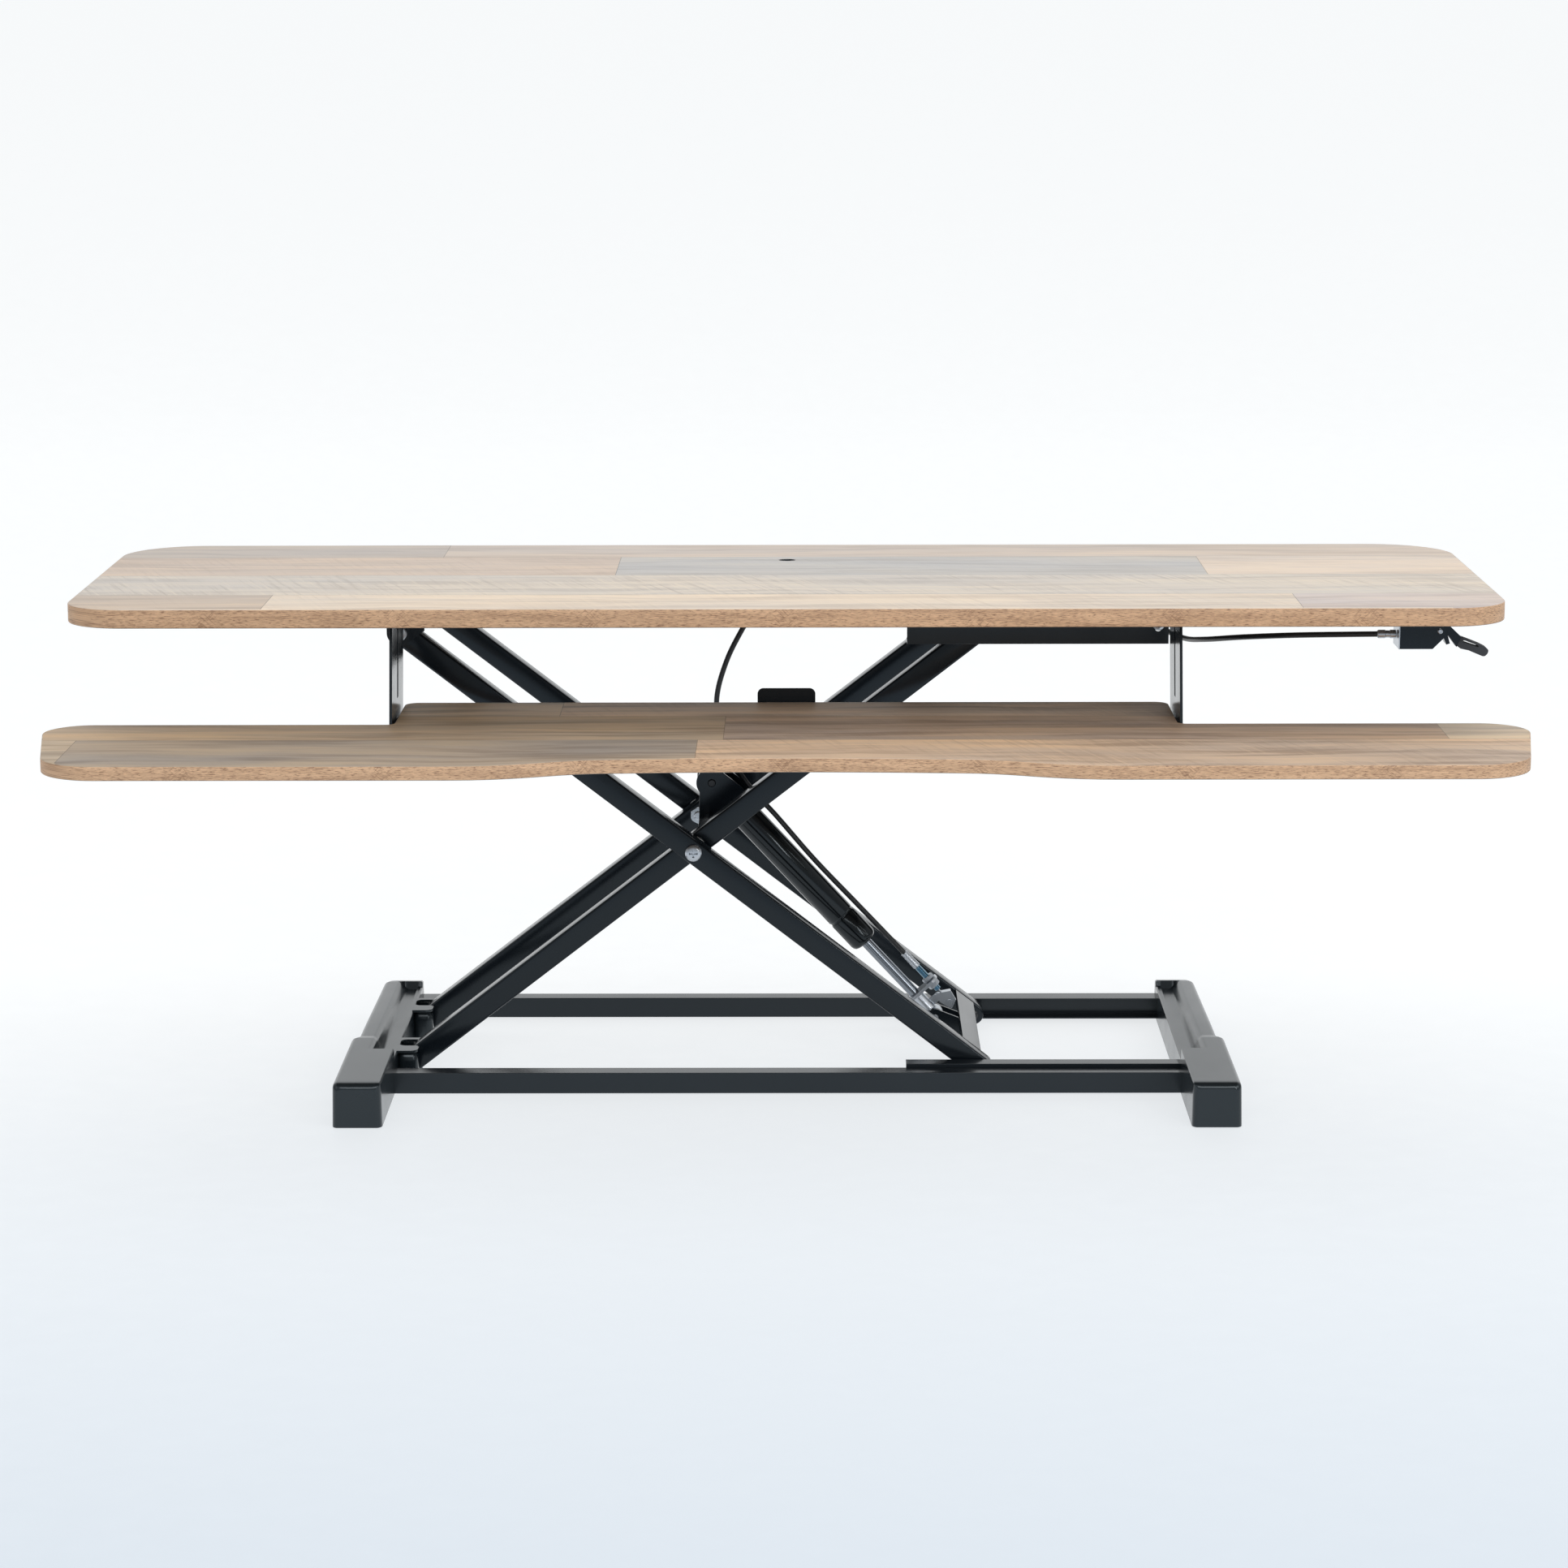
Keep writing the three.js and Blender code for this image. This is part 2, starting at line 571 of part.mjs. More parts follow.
function makeScissor() {
  const bore = axleRadius + RUNNING_CLEARANCE;
  for (const [side, sign] of sides) {
    makeArm(`arm_inner_${side}`, innerFaces, sign, armA, bore);
    makeArm(`arm_outer_${side}`, outerFaces, sign, armB, bore);
    makeRoller(`top_${side}`, innerFaces, sign, armA, 9);
    makeRoller(`base_${side}`, outerFaces, sign, armB, 5);

    const headY = outerFaces[1] + GAP;
    const tipY = innerFaces[0] - 9;
    const bolt = cylinderY(pinRadius, [sign * tipY, sign * (headY + 1)], 0, 0)
      .add(cylinderY(7.5, [sign * headY, sign * (headY + 4)], 0, 0));
    part(`crossing_bolt_${side}`, bolt, zinc, armA);
    const nut = cylinderY(8, [sign * (innerFaces[0] - GAP - 7), sign * (innerFaces[0] - GAP)], 0, 0, 6)
      .subtract(cylinderY(pinRadius + RUNNING_CLEARANCE, [sign * (tipY - 3), sign * innerFaces[0]], 0, 0));
    part(`crossing_nut_${side}`, nut, zinc, armA);
  }
}

// ---------------------------------------------------------------- gas spring and its brackets

const cheekInner = 16;
const cheekSheet = 3;
const springPinRadius = 3;

function eyePoint() {
  return new THREE.Vector3(spring.eyeAlong, 0, spring.eyeAcross);
}

// The cross bar between the inner arms, with two cheeks that carry the spring's upper pin.
function makeSpringBracket() {
  const across = innerFaces[0] - GAP;
  const crossBar = box([9.5, 21], [-across, across], [-8, 8]);
  const outline = new THREE.Shape();
  outline.moveTo(9.5, -8);
  outline.lineTo(58, -8);
  outline.lineTo(58, 8);
  outline.absarc(spring.eyeAlong, spring.eyeAcross, 14, 0, Math.PI);
  outline.lineTo(9.5, 8);
  let bracket = crossBar;
  for (const [, sign] of sides) {
    bracket = bracket.add(sidePlate(outline, [sign * cheekInner, sign * (cheekInner + cheekSheet)]));
  }
  const pinReach = cheekInner + cheekSheet + SLACK;
  const eye = eyePoint();
  bracket = bracket.subtract(
    cylinderY(springPinRadius + RUNNING_CLEARANCE, [-pinReach, pinReach], eye.x, eye.z),
  );
  part('spring_bracket', bracket, blackSteel, armA);
  part('spring_upper_pin', cylinderY(springPinRadius, [-pinReach, pinReach], eye.x, eye.z), zinc, armA);
}

// The plate between the outer arms, with two lugs that carry the spring's lower pin.
const lugInner = 9.5;
const lugSheet = 3;

function makeCrossPlate() {
  const plateFrom = 295;
  const plateTo = 315.5;
  const plateThickness = 3;
  const lowZ = halfTube - 0.5 - plateThickness;
  const reach = outerFaces[0] - GAP;
  let plate = box([plateFrom, plateTo], [-reach, reach], [lowZ, lowZ + plateThickness]);
  const outline = new THREE.Shape();
  outline.absarc(spring.footAlong, spring.footAcross, 8, Math.PI / 2, Math.PI * 1.5);
  outline.lineTo(plateTo - 8, -8);
  outline.lineTo(plateTo - 2, lowZ + 1);
  outline.lineTo(plateFrom, lowZ + 1);
  for (const [, sign] of sides) {
    plate = plate.add(sidePlate(outline, [sign * lugInner, sign * (lugInner + lugSheet)]));
  }
  const pinReach = lugInner + lugSheet + SLACK;
  plate = plate.subtract(
    cylinderY(
      springPinRadius + RUNNING_CLEARANCE, [-pinReach, pinReach], spring.footAlong, spring.footAcross,
    ),
  );
  part('lower_cross_plate', plate, blackSteel, armB);
  const pin = cylinderY(springPinRadius, [-pinReach, pinReach], spring.footAlong, spring.footAcross);
  part('spring_lower_pin', pin, zinc, armB);
}

function makeGasSpring() {
  const upper = eyePoint().applyAxisAngle(new THREE.Vector3(0, 1, 0), -liftAngle).add(crossing);
  const lower = new THREE.Vector3(spring.footAlong, 0, spring.footAcross)
    .applyAxisAngle(new THREE.Vector3(0, 1, 0), liftAngle).add(crossing);
  const span = lower.clone().sub(upper);
  const springLength = span.length();
  const frame = frameAt(upper.x, upper.y, upper.z, Math.atan2(-span.z, span.x));

  // Cylinder with a flat eye; the eye's hole is wide of its pin, where the linkage is left open.
  const { cylinderRadius, cylinderLength, rodRadius, eyeRadius, ringGroove } = spring;
  const openPivotRadius = springPinRadius + 5.7;
  const eyeHalf = 8;
  const bore = rodRadius + RUNNING_CLEARANCE;
  const shell = turnedX([
    [14, 8], [17, cylinderRadius], [ringGroove, cylinderRadius],
    [ringGroove + 1, cylinderRadius - 1], [ringGroove + 4, cylinderRadius - 1],
    [ringGroove + 5, cylinderRadius], [cylinderLength - 4, cylinderRadius],
    [cylinderLength, cylinderRadius - 3],
  ], 24);
  const eye = cylinderY(eyeRadius, [-eyeHalf, eyeHalf], 0, 0, 24)
    .add(box([0, 16], [-eyeHalf, eyeHalf], [-8, 8]));
  const cylinder = shell.add(eye)
    .subtract(cylinderY(openPivotRadius, [-eyeHalf - SLACK, eyeHalf + SLACK], 0, 0, 20))
    .subtract(cylinderX(bore, [40, cylinderLength + SLACK]));
  part('gas_spring_cylinder', cylinder, glossBlack, frame);

  const headStart = springLength - 27;
  const rodInside = 100;
  part('gas_spring_rod', turnedX([
    [rodInside, rodRadius - 1], [rodInside + 1, rodRadius], [headStart - GAP, rodRadius],
  ]), chrome, frame);

  // Release head: a flange that the cable ends on, a hub over the rod's end, an ear that the
  // release lever turns on, and the eye at the foot.
  const flange = 3;
  const adjusterOffset = 18.5;
  const hubRadius = 6.5;
  const footEyeHalf = lugInner - 0.7;
  const leverPivot = { s: springLength - 10.5, t: 14, radius: 1.5 };
  const ear = new THREE.Shape();
  ear.absarc(leverPivot.s, leverPivot.t, 3.5, 0, Math.PI);
  ear.lineTo(leverPivot.s - 3.5, 0);
  ear.lineTo(leverPivot.s + 3.5, 0);
  const earThickness = 2.5;
  const earBore = cylinderY(
    leverPivot.radius + RUNNING_CLEARANCE, [-SLACK, earThickness + SLACK], leverPivot.s, leverPivot.t,
  );
  const head = box([headStart, headStart + flange], [-9, 9], [-11, adjusterOffset + 6.5])
    .add(cylinderX(hubRadius, [headStart + 1, springLength - 4]))
    .add(cylinderY(8, [-footEyeHalf, footEyeHalf], springLength, 0))
    .add(sidePlate(ear, [0, earThickness]))
    .subtract(cylinderY(springPinRadius + 0.08, [-12, 12], springLength, 0))
    .subtract(earBore)
    .subtract(cylinderX(3.4, [headStart - 1, headStart + flange + 1], 0, adjusterOffset));
  part('release_head', head, zinc, frame);

  // Cable adjuster: crimped sleeve, threaded barrel and two lock nuts on either side of the flange.
  const nutLength = 4.2;
  const hex = (from) => cylinderX(5.8, [from, from + nutLength], 0, 0, 6);
  const adjuster = turnedX([
    [headStart - 35, 3.5], [headStart - 17, 3.5], [headStart - 16.5, 2.9], [headStart + 12, 2.9],
  ]).add(hex(headStart - GAP - nutLength)).add(hex(headStart + flange + GAP))
    .translate([0, 0, adjusterOffset]);
  part('cable_adjuster', adjuster, zinc, frame);

  // Release lever: a plate beside the ear, with a bent edge that the cable's inner wire pulls.
  const leverY = [-GAP, -GAP - 2.5];
  const fromPin = (points) => shapeOf(points.map(([s, t]) => [springLength + s, t]));
  const lever = sidePlate(fromPin([
    [-14, 12.5], [-12.5, 17], [-7, 26], [2.6, 24], [6, 16], [3.5, 14.1], [-6, 11.9],
  ]), leverY)
    .add(sidePlate(fromPin([[-11.6, 18.5], [-7, 26], [-5.2, 25], [-9.6, 17.5]]), [leverY[1], 6]))
    .add(cylinderY(3.2, [leverY[1] - 1.2, leverY[0]], springLength + 0.8, 17.7))
    .add(cylinderY(leverPivot.radius, [leverY[0] - 1, earThickness + 1], leverPivot.s, leverPivot.t));
  part('release_lever', lever, zinc, frame);
  return { springFrame: frame, cableEnd: headStart - 35, adjusterOffset };
}

// ---------------------------------------------------------------- handle and cable

function makeHandle() {
  const { x, y, z, cheekHalf, plate, leverHalf, pinHoleRadius } = handle;
  const top = boardBottom - GAP;
  const housingBack = x - handle.length;
  const bottom = z - 15;
  const body = sidePlate(shapeOf([
    [housingBack, top], [x + 5, top], [x + 5, z - 4], [x, z - 9],
    [x - 6, bottom], [housingBack, bottom],
  ]), [y - cheekHalf, y + cheekHalf]);
  const inside = box(
    [housingBack + 3, x + 5 + SLACK],
    [y - cheekHalf + plate, y + cheekHalf - plate], [bottom - SLACK, top - plate],
  );
  const mountingPlate = box([housingBack, x], [y - cheekHalf - 6, y + cheekHalf + 6], [top - plate, top]);
  const cheekHoles = cylinderY(pinHoleRadius, [y - cheekHalf - SLACK, y + cheekHalf + SLACK], x, z, 16);
  const cableHole = cylinderX(cableRadius, [housingBack - SLACK, housingBack + 4], y, z - 4, 12);
  part(
    'handle_housing', body.subtract(inside).add(mountingPlate).subtract(cheekHoles).subtract(cableHole),
    blackSteel, converter,
  );

  // Lever: hub, a short tail that pulls the wire, and the arm that carries the grip.
  const leverY = [y - leverHalf, y + leverHalf];
  const hub = cylinderY(6, leverY, x, z, 20);
  const arm = sidePlate(shapeOf([
    [x - 6, z], [x - 5, z - 9], [x - 1, z - 9], [x + 3, z - 5], [x + 6, z - 12],
    [x + 9, z - 11], [x + 7, z - 4], [x + 14.5, z - 14], [x + 18.5, z - 5.5],
    [x + 9, z + 3.5], [x + 4, z + 4.5],
  ]), leverY);
  const pinHole = cylinderY(pinHoleRadius, [leverY[0] - SLACK, leverY[1] + SLACK], x, z, 16);
  part('handle_lever', hub.add(arm).subtract(pinHole), blackSteel, converter);

  // Grip: a closed loop with a slit between its thin strap and its thick finger bar.
  const gripLength = 25;
  const gripTilt = THREE.MathUtils.degToRad(25);
  const outline = shapeOf([
    [0, -3.2], [2, -3.8], [gripLength - 4, -3.2], [gripLength, -1],
    [gripLength, 2], [gripLength - 3.5, 4.2], [1, 4.8], [0, 3.8],
  ]);
  outline.holes.push(new THREE.Path([[3, 1.9], [gripLength - 8, 1.9], [gripLength - 8, 3.1], [3, 3.5]].map(
    ([px, pz]) => new THREE.Vector2(px, pz),
  )));
  const gripGroup = frameAt(x + 17.4, y, z - 9.9, gripTilt);
  part('handle_grip', sidePlate(outline, [-leverHalf + 1, leverHalf - 1]), rubber, gripGroup);
}

function tubeAlong(points, steps) {
  const curve = new THREE.CatmullRomCurve3(points, false, 'centripetal');
  const section = new THREE.Shape();
  const facets = 8;
  for (let i = 0; i < facets; i += 1) {
    const angle = 2 * Math.PI * i / facets;
    const [x, y] = [cableRadius * Math.cos(angle), cableRadius * Math.sin(angle)];
    if (i === 0) {
      section.moveTo(x, y);
    } else {
      section.lineTo(x, y);
    }
  }
  return solid(new THREE.ExtrudeGeometry(section, { steps, extrudePath: curve, bevelEnabled: false }));
}

// The sleeved cable runs under the board, then loops down to the adjuster on the gas spring.
const cableSplit = new THREE.Vector3(0, scissor.middleY, 430.5);
const underBoardRoute = [
  [498, -105, 427], [466, -102, 426.2], [430, -86, 423.2], [390, -40, 414.5], [362, 15, 404], [349, 60, 398],
  [335, 95, 400], [316, 125, 409], [285, 145, 422], [245, 152, 429.5], [190, 152, 430.5], [120, 152, 430.5],
  [50, 152, 430.5],
];
const loopRoute = [
  [-9, 152, 429.5], [-24, 152, 420], [-38, 152, 397], [-55, 152, 363], [-64, 152, 326],
  [-57, 152, 288], [-38, 152, 253], [-10, 152, 221], [24, 152, 181], [63, 152, 139.5],
];

function makeCable(springFrame, cableEnd, adjusterOffset) {
  const toVector = ([x, y, z]) => new THREE.Vector3(x, y, z);
  const run = [...underBoardRoute.map(toVector), cableSplit.clone().add(new THREE.Vector3(2 * GAP, 0, 0))];
  const ferrule = cylinderX(3.6, [495, handle.x - handle.length - 2 * GAP], -105, 427, 16);
  part('cable_run', tubeAlong(run, 40).add(ferrule), rubber, converter);

  springFrame.updateMatrixWorld(true);
  const onAxis = (s) => springFrame.localToWorld(new THREE.Vector3(s, 0, adjusterOffset));
  const loop = [cableSplit, ...loopRoute.map(toVector), onAxis(cableEnd - 12), onAxis(cableEnd - GAP)];
  part('cable_loop', tubeAlong(loop, 34), rubber, converter);
}

// ---------------------------------------------------------------- build

makeBoard();
makeTray();
makeHangers();
makeTopFrame();
makeTopPivots();
makeFeet();
makeBaseRails();
makeBasePins();
makeScissor();
makeSpringBracket();
makeCrossPlate();
const { springFrame, cableEnd, adjusterOffset } = makeGasSpring();
makeHandle();
makeCable(springFrame, cableEnd, adjusterOffset);

export default converter;
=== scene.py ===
"""Looks of the standing desk converter.

It adds the finer pieces, materials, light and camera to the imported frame.
"""
import json
import math

import bmesh
import bpy
from mathutils import Euler, Matrix, Vector


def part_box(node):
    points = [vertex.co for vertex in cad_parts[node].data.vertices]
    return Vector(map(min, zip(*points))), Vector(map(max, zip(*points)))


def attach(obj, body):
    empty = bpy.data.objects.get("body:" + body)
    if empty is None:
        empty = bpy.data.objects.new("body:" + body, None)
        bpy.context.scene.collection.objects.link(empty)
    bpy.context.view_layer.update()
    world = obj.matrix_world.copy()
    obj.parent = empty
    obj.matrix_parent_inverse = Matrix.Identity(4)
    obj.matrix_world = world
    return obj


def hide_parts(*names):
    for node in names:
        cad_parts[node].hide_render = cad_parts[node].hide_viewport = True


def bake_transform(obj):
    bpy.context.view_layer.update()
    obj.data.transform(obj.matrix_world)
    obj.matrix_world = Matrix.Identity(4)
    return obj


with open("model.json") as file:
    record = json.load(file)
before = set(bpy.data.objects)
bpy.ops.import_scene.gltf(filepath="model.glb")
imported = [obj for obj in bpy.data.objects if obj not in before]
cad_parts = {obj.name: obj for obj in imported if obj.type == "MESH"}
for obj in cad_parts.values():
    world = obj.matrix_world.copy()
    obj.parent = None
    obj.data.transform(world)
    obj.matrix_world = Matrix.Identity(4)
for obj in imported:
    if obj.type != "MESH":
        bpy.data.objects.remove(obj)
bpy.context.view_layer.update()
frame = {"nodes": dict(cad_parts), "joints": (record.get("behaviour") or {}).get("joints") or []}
nodes = frame["nodes"]
MM = 0.001  # every length below is in millimetres, and is scaled once, where a mesh is made


# ---------------------------------------------------------------- places that come from the frame

def corners(name):
    """Lowest and highest corner of a CAD node, in millimetres."""
    low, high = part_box(name)
    return low / MM, high / MM


joint = {j["name"]: j for j in frame["joints"]}
pivot = {name: Vector(j["pos_m"]) / MM for name, j in joint.items() if "pos_m" in j}
middle_y = pivot["lift"].y
crossing = pivot["crossing"]
half_arm = (crossing - pivot["lift"]).length
lift_angle = math.asin((crossing.z - pivot["lift"].z) / half_arm)
sides = {"front": -1, "rear": 1}
ends = {"left": -1, "right": 1}
inner_pair = (65, 85)  # the arms' faces, from the scissor's middle plane
outer_pair = (90, 110)
tube = 20


# ---------------------------------------------------------------- material nodes

def new_material(name):
    material = bpy.data.materials.new(name)
    material.use_nodes = True
    material.node_tree.nodes.clear()
    return material, material.node_tree


def put(tree, socket, value):
    if isinstance(value, bpy.types.NodeSocket):
        tree.links.new(value, socket)
    else:
        socket.default_value = value


def add(tree, kind, inputs=None, **settings):
    made = tree.nodes.new("ShaderNode" + kind)
    for name, value in settings.items():
        setattr(made, name, value)
    for name, value in (inputs or {}).items():
        put(tree, made.inputs[name], value)
    return made


def math_node(tree, operation, first, second=0.0):
    return add(tree, "Math", {0: first, 1: second}, operation=operation).outputs[0]


def remap(tree, value, low, high, to_low, to_high):
    wanted = {"Value": value, "From Min": low, "From Max": high, "To Min": to_low, "To Max": to_high}
    return add(tree, "MapRange", wanted).outputs[0]


def linear(red, green, blue):
    """A colour given as on a screen, 0 to 255, as the linear values that a shader takes."""
    def one(value):
        share = value / 255
        return share / 12.92 if share <= 0.04045 else ((share + 0.055) / 1.055) ** 2.4
    return one(red), one(green), one(blue), 1.0


def turned_about_z(tree, vector, angle):
    wanted = {"Vector": vector, "Angle": angle}
    return add(tree, "VectorRotate", wanted, rotation_type="Z_AXIS").outputs[0]


def stretched(tree, scale, turn=0.0, offset=None):
    """Object coordinates in metres, turned about Z and multiplied by a scale on each axis."""
    place = add(tree, "TexCoord").outputs["Object"]
    if offset is not None:
        place = add(tree, "VectorMath", {0: place, 1: offset}, operation="ADD").outputs[0]
    if turn:
        place = turned_about_z(tree, place, turn)
    return add(tree, "VectorMath", {0: place, 1: scale}, operation="MULTIPLY").outputs[0]


def noise(tree, vector, detail=3.0, roughness=0.5, distortion=0.0):
    wanted = {
        "Vector": vector, "Scale": 1.0, "Detail": detail,
        "Roughness": roughness, "Distortion": distortion,
    }
    return add(tree, "TexNoise", wanted).outputs["Fac"]


def mixed(tree, amount, first, second, blend="MIX"):
    mix = add(tree, "Mix", data_type="RGBA", blend_type=blend)
    put(tree, mix.inputs[0], amount)
    put(tree, mix.inputs[6], first)
    put(tree, mix.inputs[7], second)
    return mix.outputs[2]


def finish_surface(tree, colour, roughness, height, bump, emission=None, **sockets):
    """A Principled surface from a colour, a roughness and a height that bumps it."""
    relief = add(tree, "Bump", {"Height": height, "Strength": bump, "Distance": 0.0004})
    shader = add(tree, "BsdfPrincipled", {"Base Color": colour, "Roughness": roughness})
    for name, value in sockets.items():
        shader.inputs[name.replace("_", " ")].default_value = value
    tree.links.new(relief.outputs[0], shader.inputs["Normal"])
    if emission is not None:
        tree.links.new(emission, shader.inputs["Emission Color"])
    output = add(tree, "OutputMaterial")
    tree.links.new(shader.outputs[0], output.inputs["Surface"])


def coated(name, colour, roughness, bump=0.12, grain=1400, spread=0.06, worn=1.25, **sockets):
    """Paint, plastic or plated metal: fine grain, cloudy gloss and slightly rubbed patches."""
    material, tree = new_material(name)
    clouds = noise(tree, stretched(tree, (9, 9, 9)), 4.0, 0.6)
    fine = noise(tree, stretched(tree, (grain, grain, grain)), 2.0, 0.6)
    rubbed = remap(tree, noise(tree, stretched(tree, (16, 16, 16)), 3.0, 0.5), 0.40, 0.80, 0.0, 1.0)
    lighter = tuple(min(1.0, part * worn) for part in colour[:3]) + (1.0,)
    shade = mixed(tree, math_node(tree, "MULTIPLY", rubbed, 0.5), colour, lighter)
    gloss = remap(tree, clouds, 0.3, 0.7, roughness - spread, roughness + spread)
    finish_surface(tree, shade, gloss, fine, bump, **sockets)
    return material


def laminate(name):
    """Printed wood planks. Each face carries its plank's tone, and its seed, saw marks and contrast."""
    material, tree = new_material(name)
    tone = add(tree, "Attribute", attribute_name="plank_tone").outputs["Color"]
    kind = add(tree, "SeparateColor", {
        "Color": add(tree, "Attribute", attribute_name="plank_kind").outputs["Color"],
    }).outputs
    seed, sawn, contrast = kind["Red"], kind["Green"], kind["Blue"]
    shift = add(tree, "CombineXYZ", {"X": seed, "Y": math_node(tree, "MULTIPLY", seed, 0.37)}).outputs[0]
    wander = noise(tree, stretched(tree, (3.5, 11, 1), offset=shift), 3.0, 0.55)
    warp = add(tree, "CombineXYZ", {"Y": math_node(tree, "MULTIPLY", wander, 0.05)}).outputs[0]
    bent = add(tree, "VectorMath", {0: shift, 1: warp}, operation="ADD").outputs[0]
    drift = noise(tree, stretched(tree, (2.6, 15, 1), offset=bent), 3.0, 0.55)
    broad = noise(tree, stretched(tree, (5, 62, 1), offset=bent), 4.0, 0.6)
    fibres = noise(tree, stretched(tree, (17, 430, 1), offset=bent), 5.0, 0.7)
    pores = noise(tree, stretched(tree, (34, 1500, 1), offset=shift), 2.0, 0.5)
    strokes = noise(tree, stretched(tree, (13, 330, 1), turn=1.22, offset=shift), 3.0, 0.6)
    patches = noise(tree, stretched(tree, (7, 16, 1), offset=shift), 2.0, 0.5)

    cool = mixed(tree, 1.0, tone, (0.87, 0.90, 0.94, 1), "MULTIPLY")
    warm = mixed(tree, 1.0, tone, (1.09, 1.03, 0.93, 1), "MULTIPLY")
    shade = mixed(tree, remap(tree, drift, 0.36, 0.64, 0.0, 1.0), cool, warm)
    evened = math_node(tree, "SUBTRACT", 1.0, math_node(tree, "MULTIPLY", contrast, 0.7))
    shade = mixed(tree, evened, shade, tone)
    dark = mixed(tree, 1.0, shade, (0.60, 0.57, 0.55, 1), "MULTIPLY")
    pale = mixed(tree, 1.0, shade, (1.13, 1.10, 1.02, 1), "MULTIPLY")
    dark_share = math_node(tree, "MULTIPLY", contrast, remap(tree, broad, 0.36, 0.52, 0.55, 0.0))
    pale_share = math_node(tree, "MULTIPLY", contrast, remap(tree, broad, 0.52, 0.68, 0.0, 0.8))
    colour = mixed(tree, pale_share, mixed(tree, dark_share, shade, dark), pale)
    colour = mixed(tree, remap(tree, fibres, 0.34, 0.52, 0.30, 0.0), colour, dark)
    stroke_share = math_node(tree, "MULTIPLY", sawn, remap(tree, patches, 0.36, 0.56, 0.15, 1.0))
    scored = math_node(tree, "MULTIPLY", stroke_share, remap(tree, strokes, 0.34, 0.46, 0.42, 0.0))
    raised = math_node(tree, "MULTIPLY", stroke_share, remap(tree, strokes, 0.55, 0.66, 0.0, 0.55))
    colour = mixed(tree, raised, mixed(tree, scored, colour, dark), pale)
    gloss = remap(tree, fibres, 0.3, 0.7, 0.50, 0.62)
    height = math_node(tree, "ADD", math_node(tree, "MULTIPLY", fibres, 0.6), pores)
    finish_surface(tree, colour, gloss, height, 0.10, Specular_IOR_Level=0.35)
    return material


def edge_band(name, colour, dark, crack_spacing):
    """Oak edge banding: short wavy dashes along the edge, with crossed cracks at even spacings."""
    material, tree = new_material(name)
    parts = add(tree, "SeparateXYZ", {0: add(tree, "TexCoord").outputs["Object"]}).outputs
    round_rim = math_node(tree, "ADD", parts["X"], parts["Y"])
    rim = add(tree, "CombineXYZ", {"X": round_rim, "Y": parts["Z"]}).outputs[0]

    def on_rim(along, up, turn=0.0):
        place = rim
        if turn:
            place = turned_about_z(tree, rim, turn)
        return add(tree, "VectorMath", {0: place, 1: (along, up, 1)}, operation="MULTIPLY").outputs[0]

    dashes = noise(tree, on_rim(190, 1350), 3.0, 0.6, 0.5)
    long_grain = noise(tree, on_rim(14, 170), 4.0, 0.6, 0.5)
    shade = mixed(tree, remap(tree, long_grain, 0.36, 0.64, 0.42, 0.0), colour, dark)
    pale = mixed(tree, 1.0, colour, (1.18, 1.16, 1.12, 1), "MULTIPLY")
    shade = mixed(tree, remap(tree, dashes, 0.54, 0.66, 0.0, 0.7), shade, pale)
    shade = mixed(tree, remap(tree, dashes, 0.36, 0.46, 0.85, 0.0), shade, dark)
    phase = math_node(tree, "MULTIPLY", parts["X"], 2 * math.pi / (crack_spacing * MM))
    near_crack = remap(tree, math_node(tree, "COSINE", phase), 0.84, 0.98, 0.0, 1.0)
    for turn in (0.75, -0.75):
        lines = noise(tree, on_rim(90, 900, turn), 2.0, 0.5, 0.8)
        crack = math_node(tree, "MULTIPLY", near_crack, remap(tree, lines, 0.38, 0.43, 0.45, 0.0))
        shade = mixed(tree, crack, shade, dark)
    finish_surface(tree, shade, remap(tree, dashes, 0.3, 0.7, 0.5, 0.64), dashes, 0.14)
    return material


cool_shine = (0.84, 0.94, 1.0, 1.0)
steel = coated(
    "black_steel", linear(17, 22, 27), 0.17, bump=0.05, spread=0.04,
    Specular_IOR_Level=0.34, Specular_Tint=cool_shine,
)
frame_steel = coated(
    "frame_steel", linear(24, 29, 34), 0.18, bump=0.05, spread=0.04,
    Specular_IOR_Level=0.38, Specular_Tint=cool_shine,
)
plastic = coated(
    "black_plastic", linear(24, 30, 34), 0.19, bump=0.06, grain=1900, spread=0.04,
    Specular_IOR_Level=0.5, Specular_Tint=cool_shine,
)
gloss_black = coated(
    "cylinder_black", linear(9, 12, 15), 0.13, bump=0.02, spread=0.03,
    Specular_IOR_Level=0.42, Specular_Tint=cool_shine,
)
chrome = coated("chrome", linear(128, 134, 141), 0.12, bump=0.01, spread=0.03, worn=1.05, Metallic=1.0)
zinc = coated("zinc", linear(186, 191, 197), 0.30, bump=0.06, spread=0.08, worn=1.1, Metallic=1.0)
blue_zinc = coated("blue_zinc", linear(140, 172, 190), 0.26, bump=0.05, worn=1.15, Metallic=1.0)
dark_bolt = coated("black_bolt", linear(34, 37, 41), 0.30, bump=0.05, Specular_IOR_Level=0.5)
rubber = coated("rubber", linear(48, 52, 58), 0.6, bump=0.35, grain=2200, spread=0.08)
sleeve = coated("cable_sleeve", linear(24, 26, 28), 0.30, bump=0.06, grain=900)
nylon = coated("white_nylon", linear(206, 208, 208), 0.42, bump=0.08)
wood_top = laminate("wood_top")
band_top = edge_band("wood_edge", linear(210, 172, 137), linear(126, 92, 67), 160)
underside = coated("melamine", linear(112, 103, 94), 0.55, bump=0.15, grain=700)


# ---------------------------------------------------------------- mesh helpers

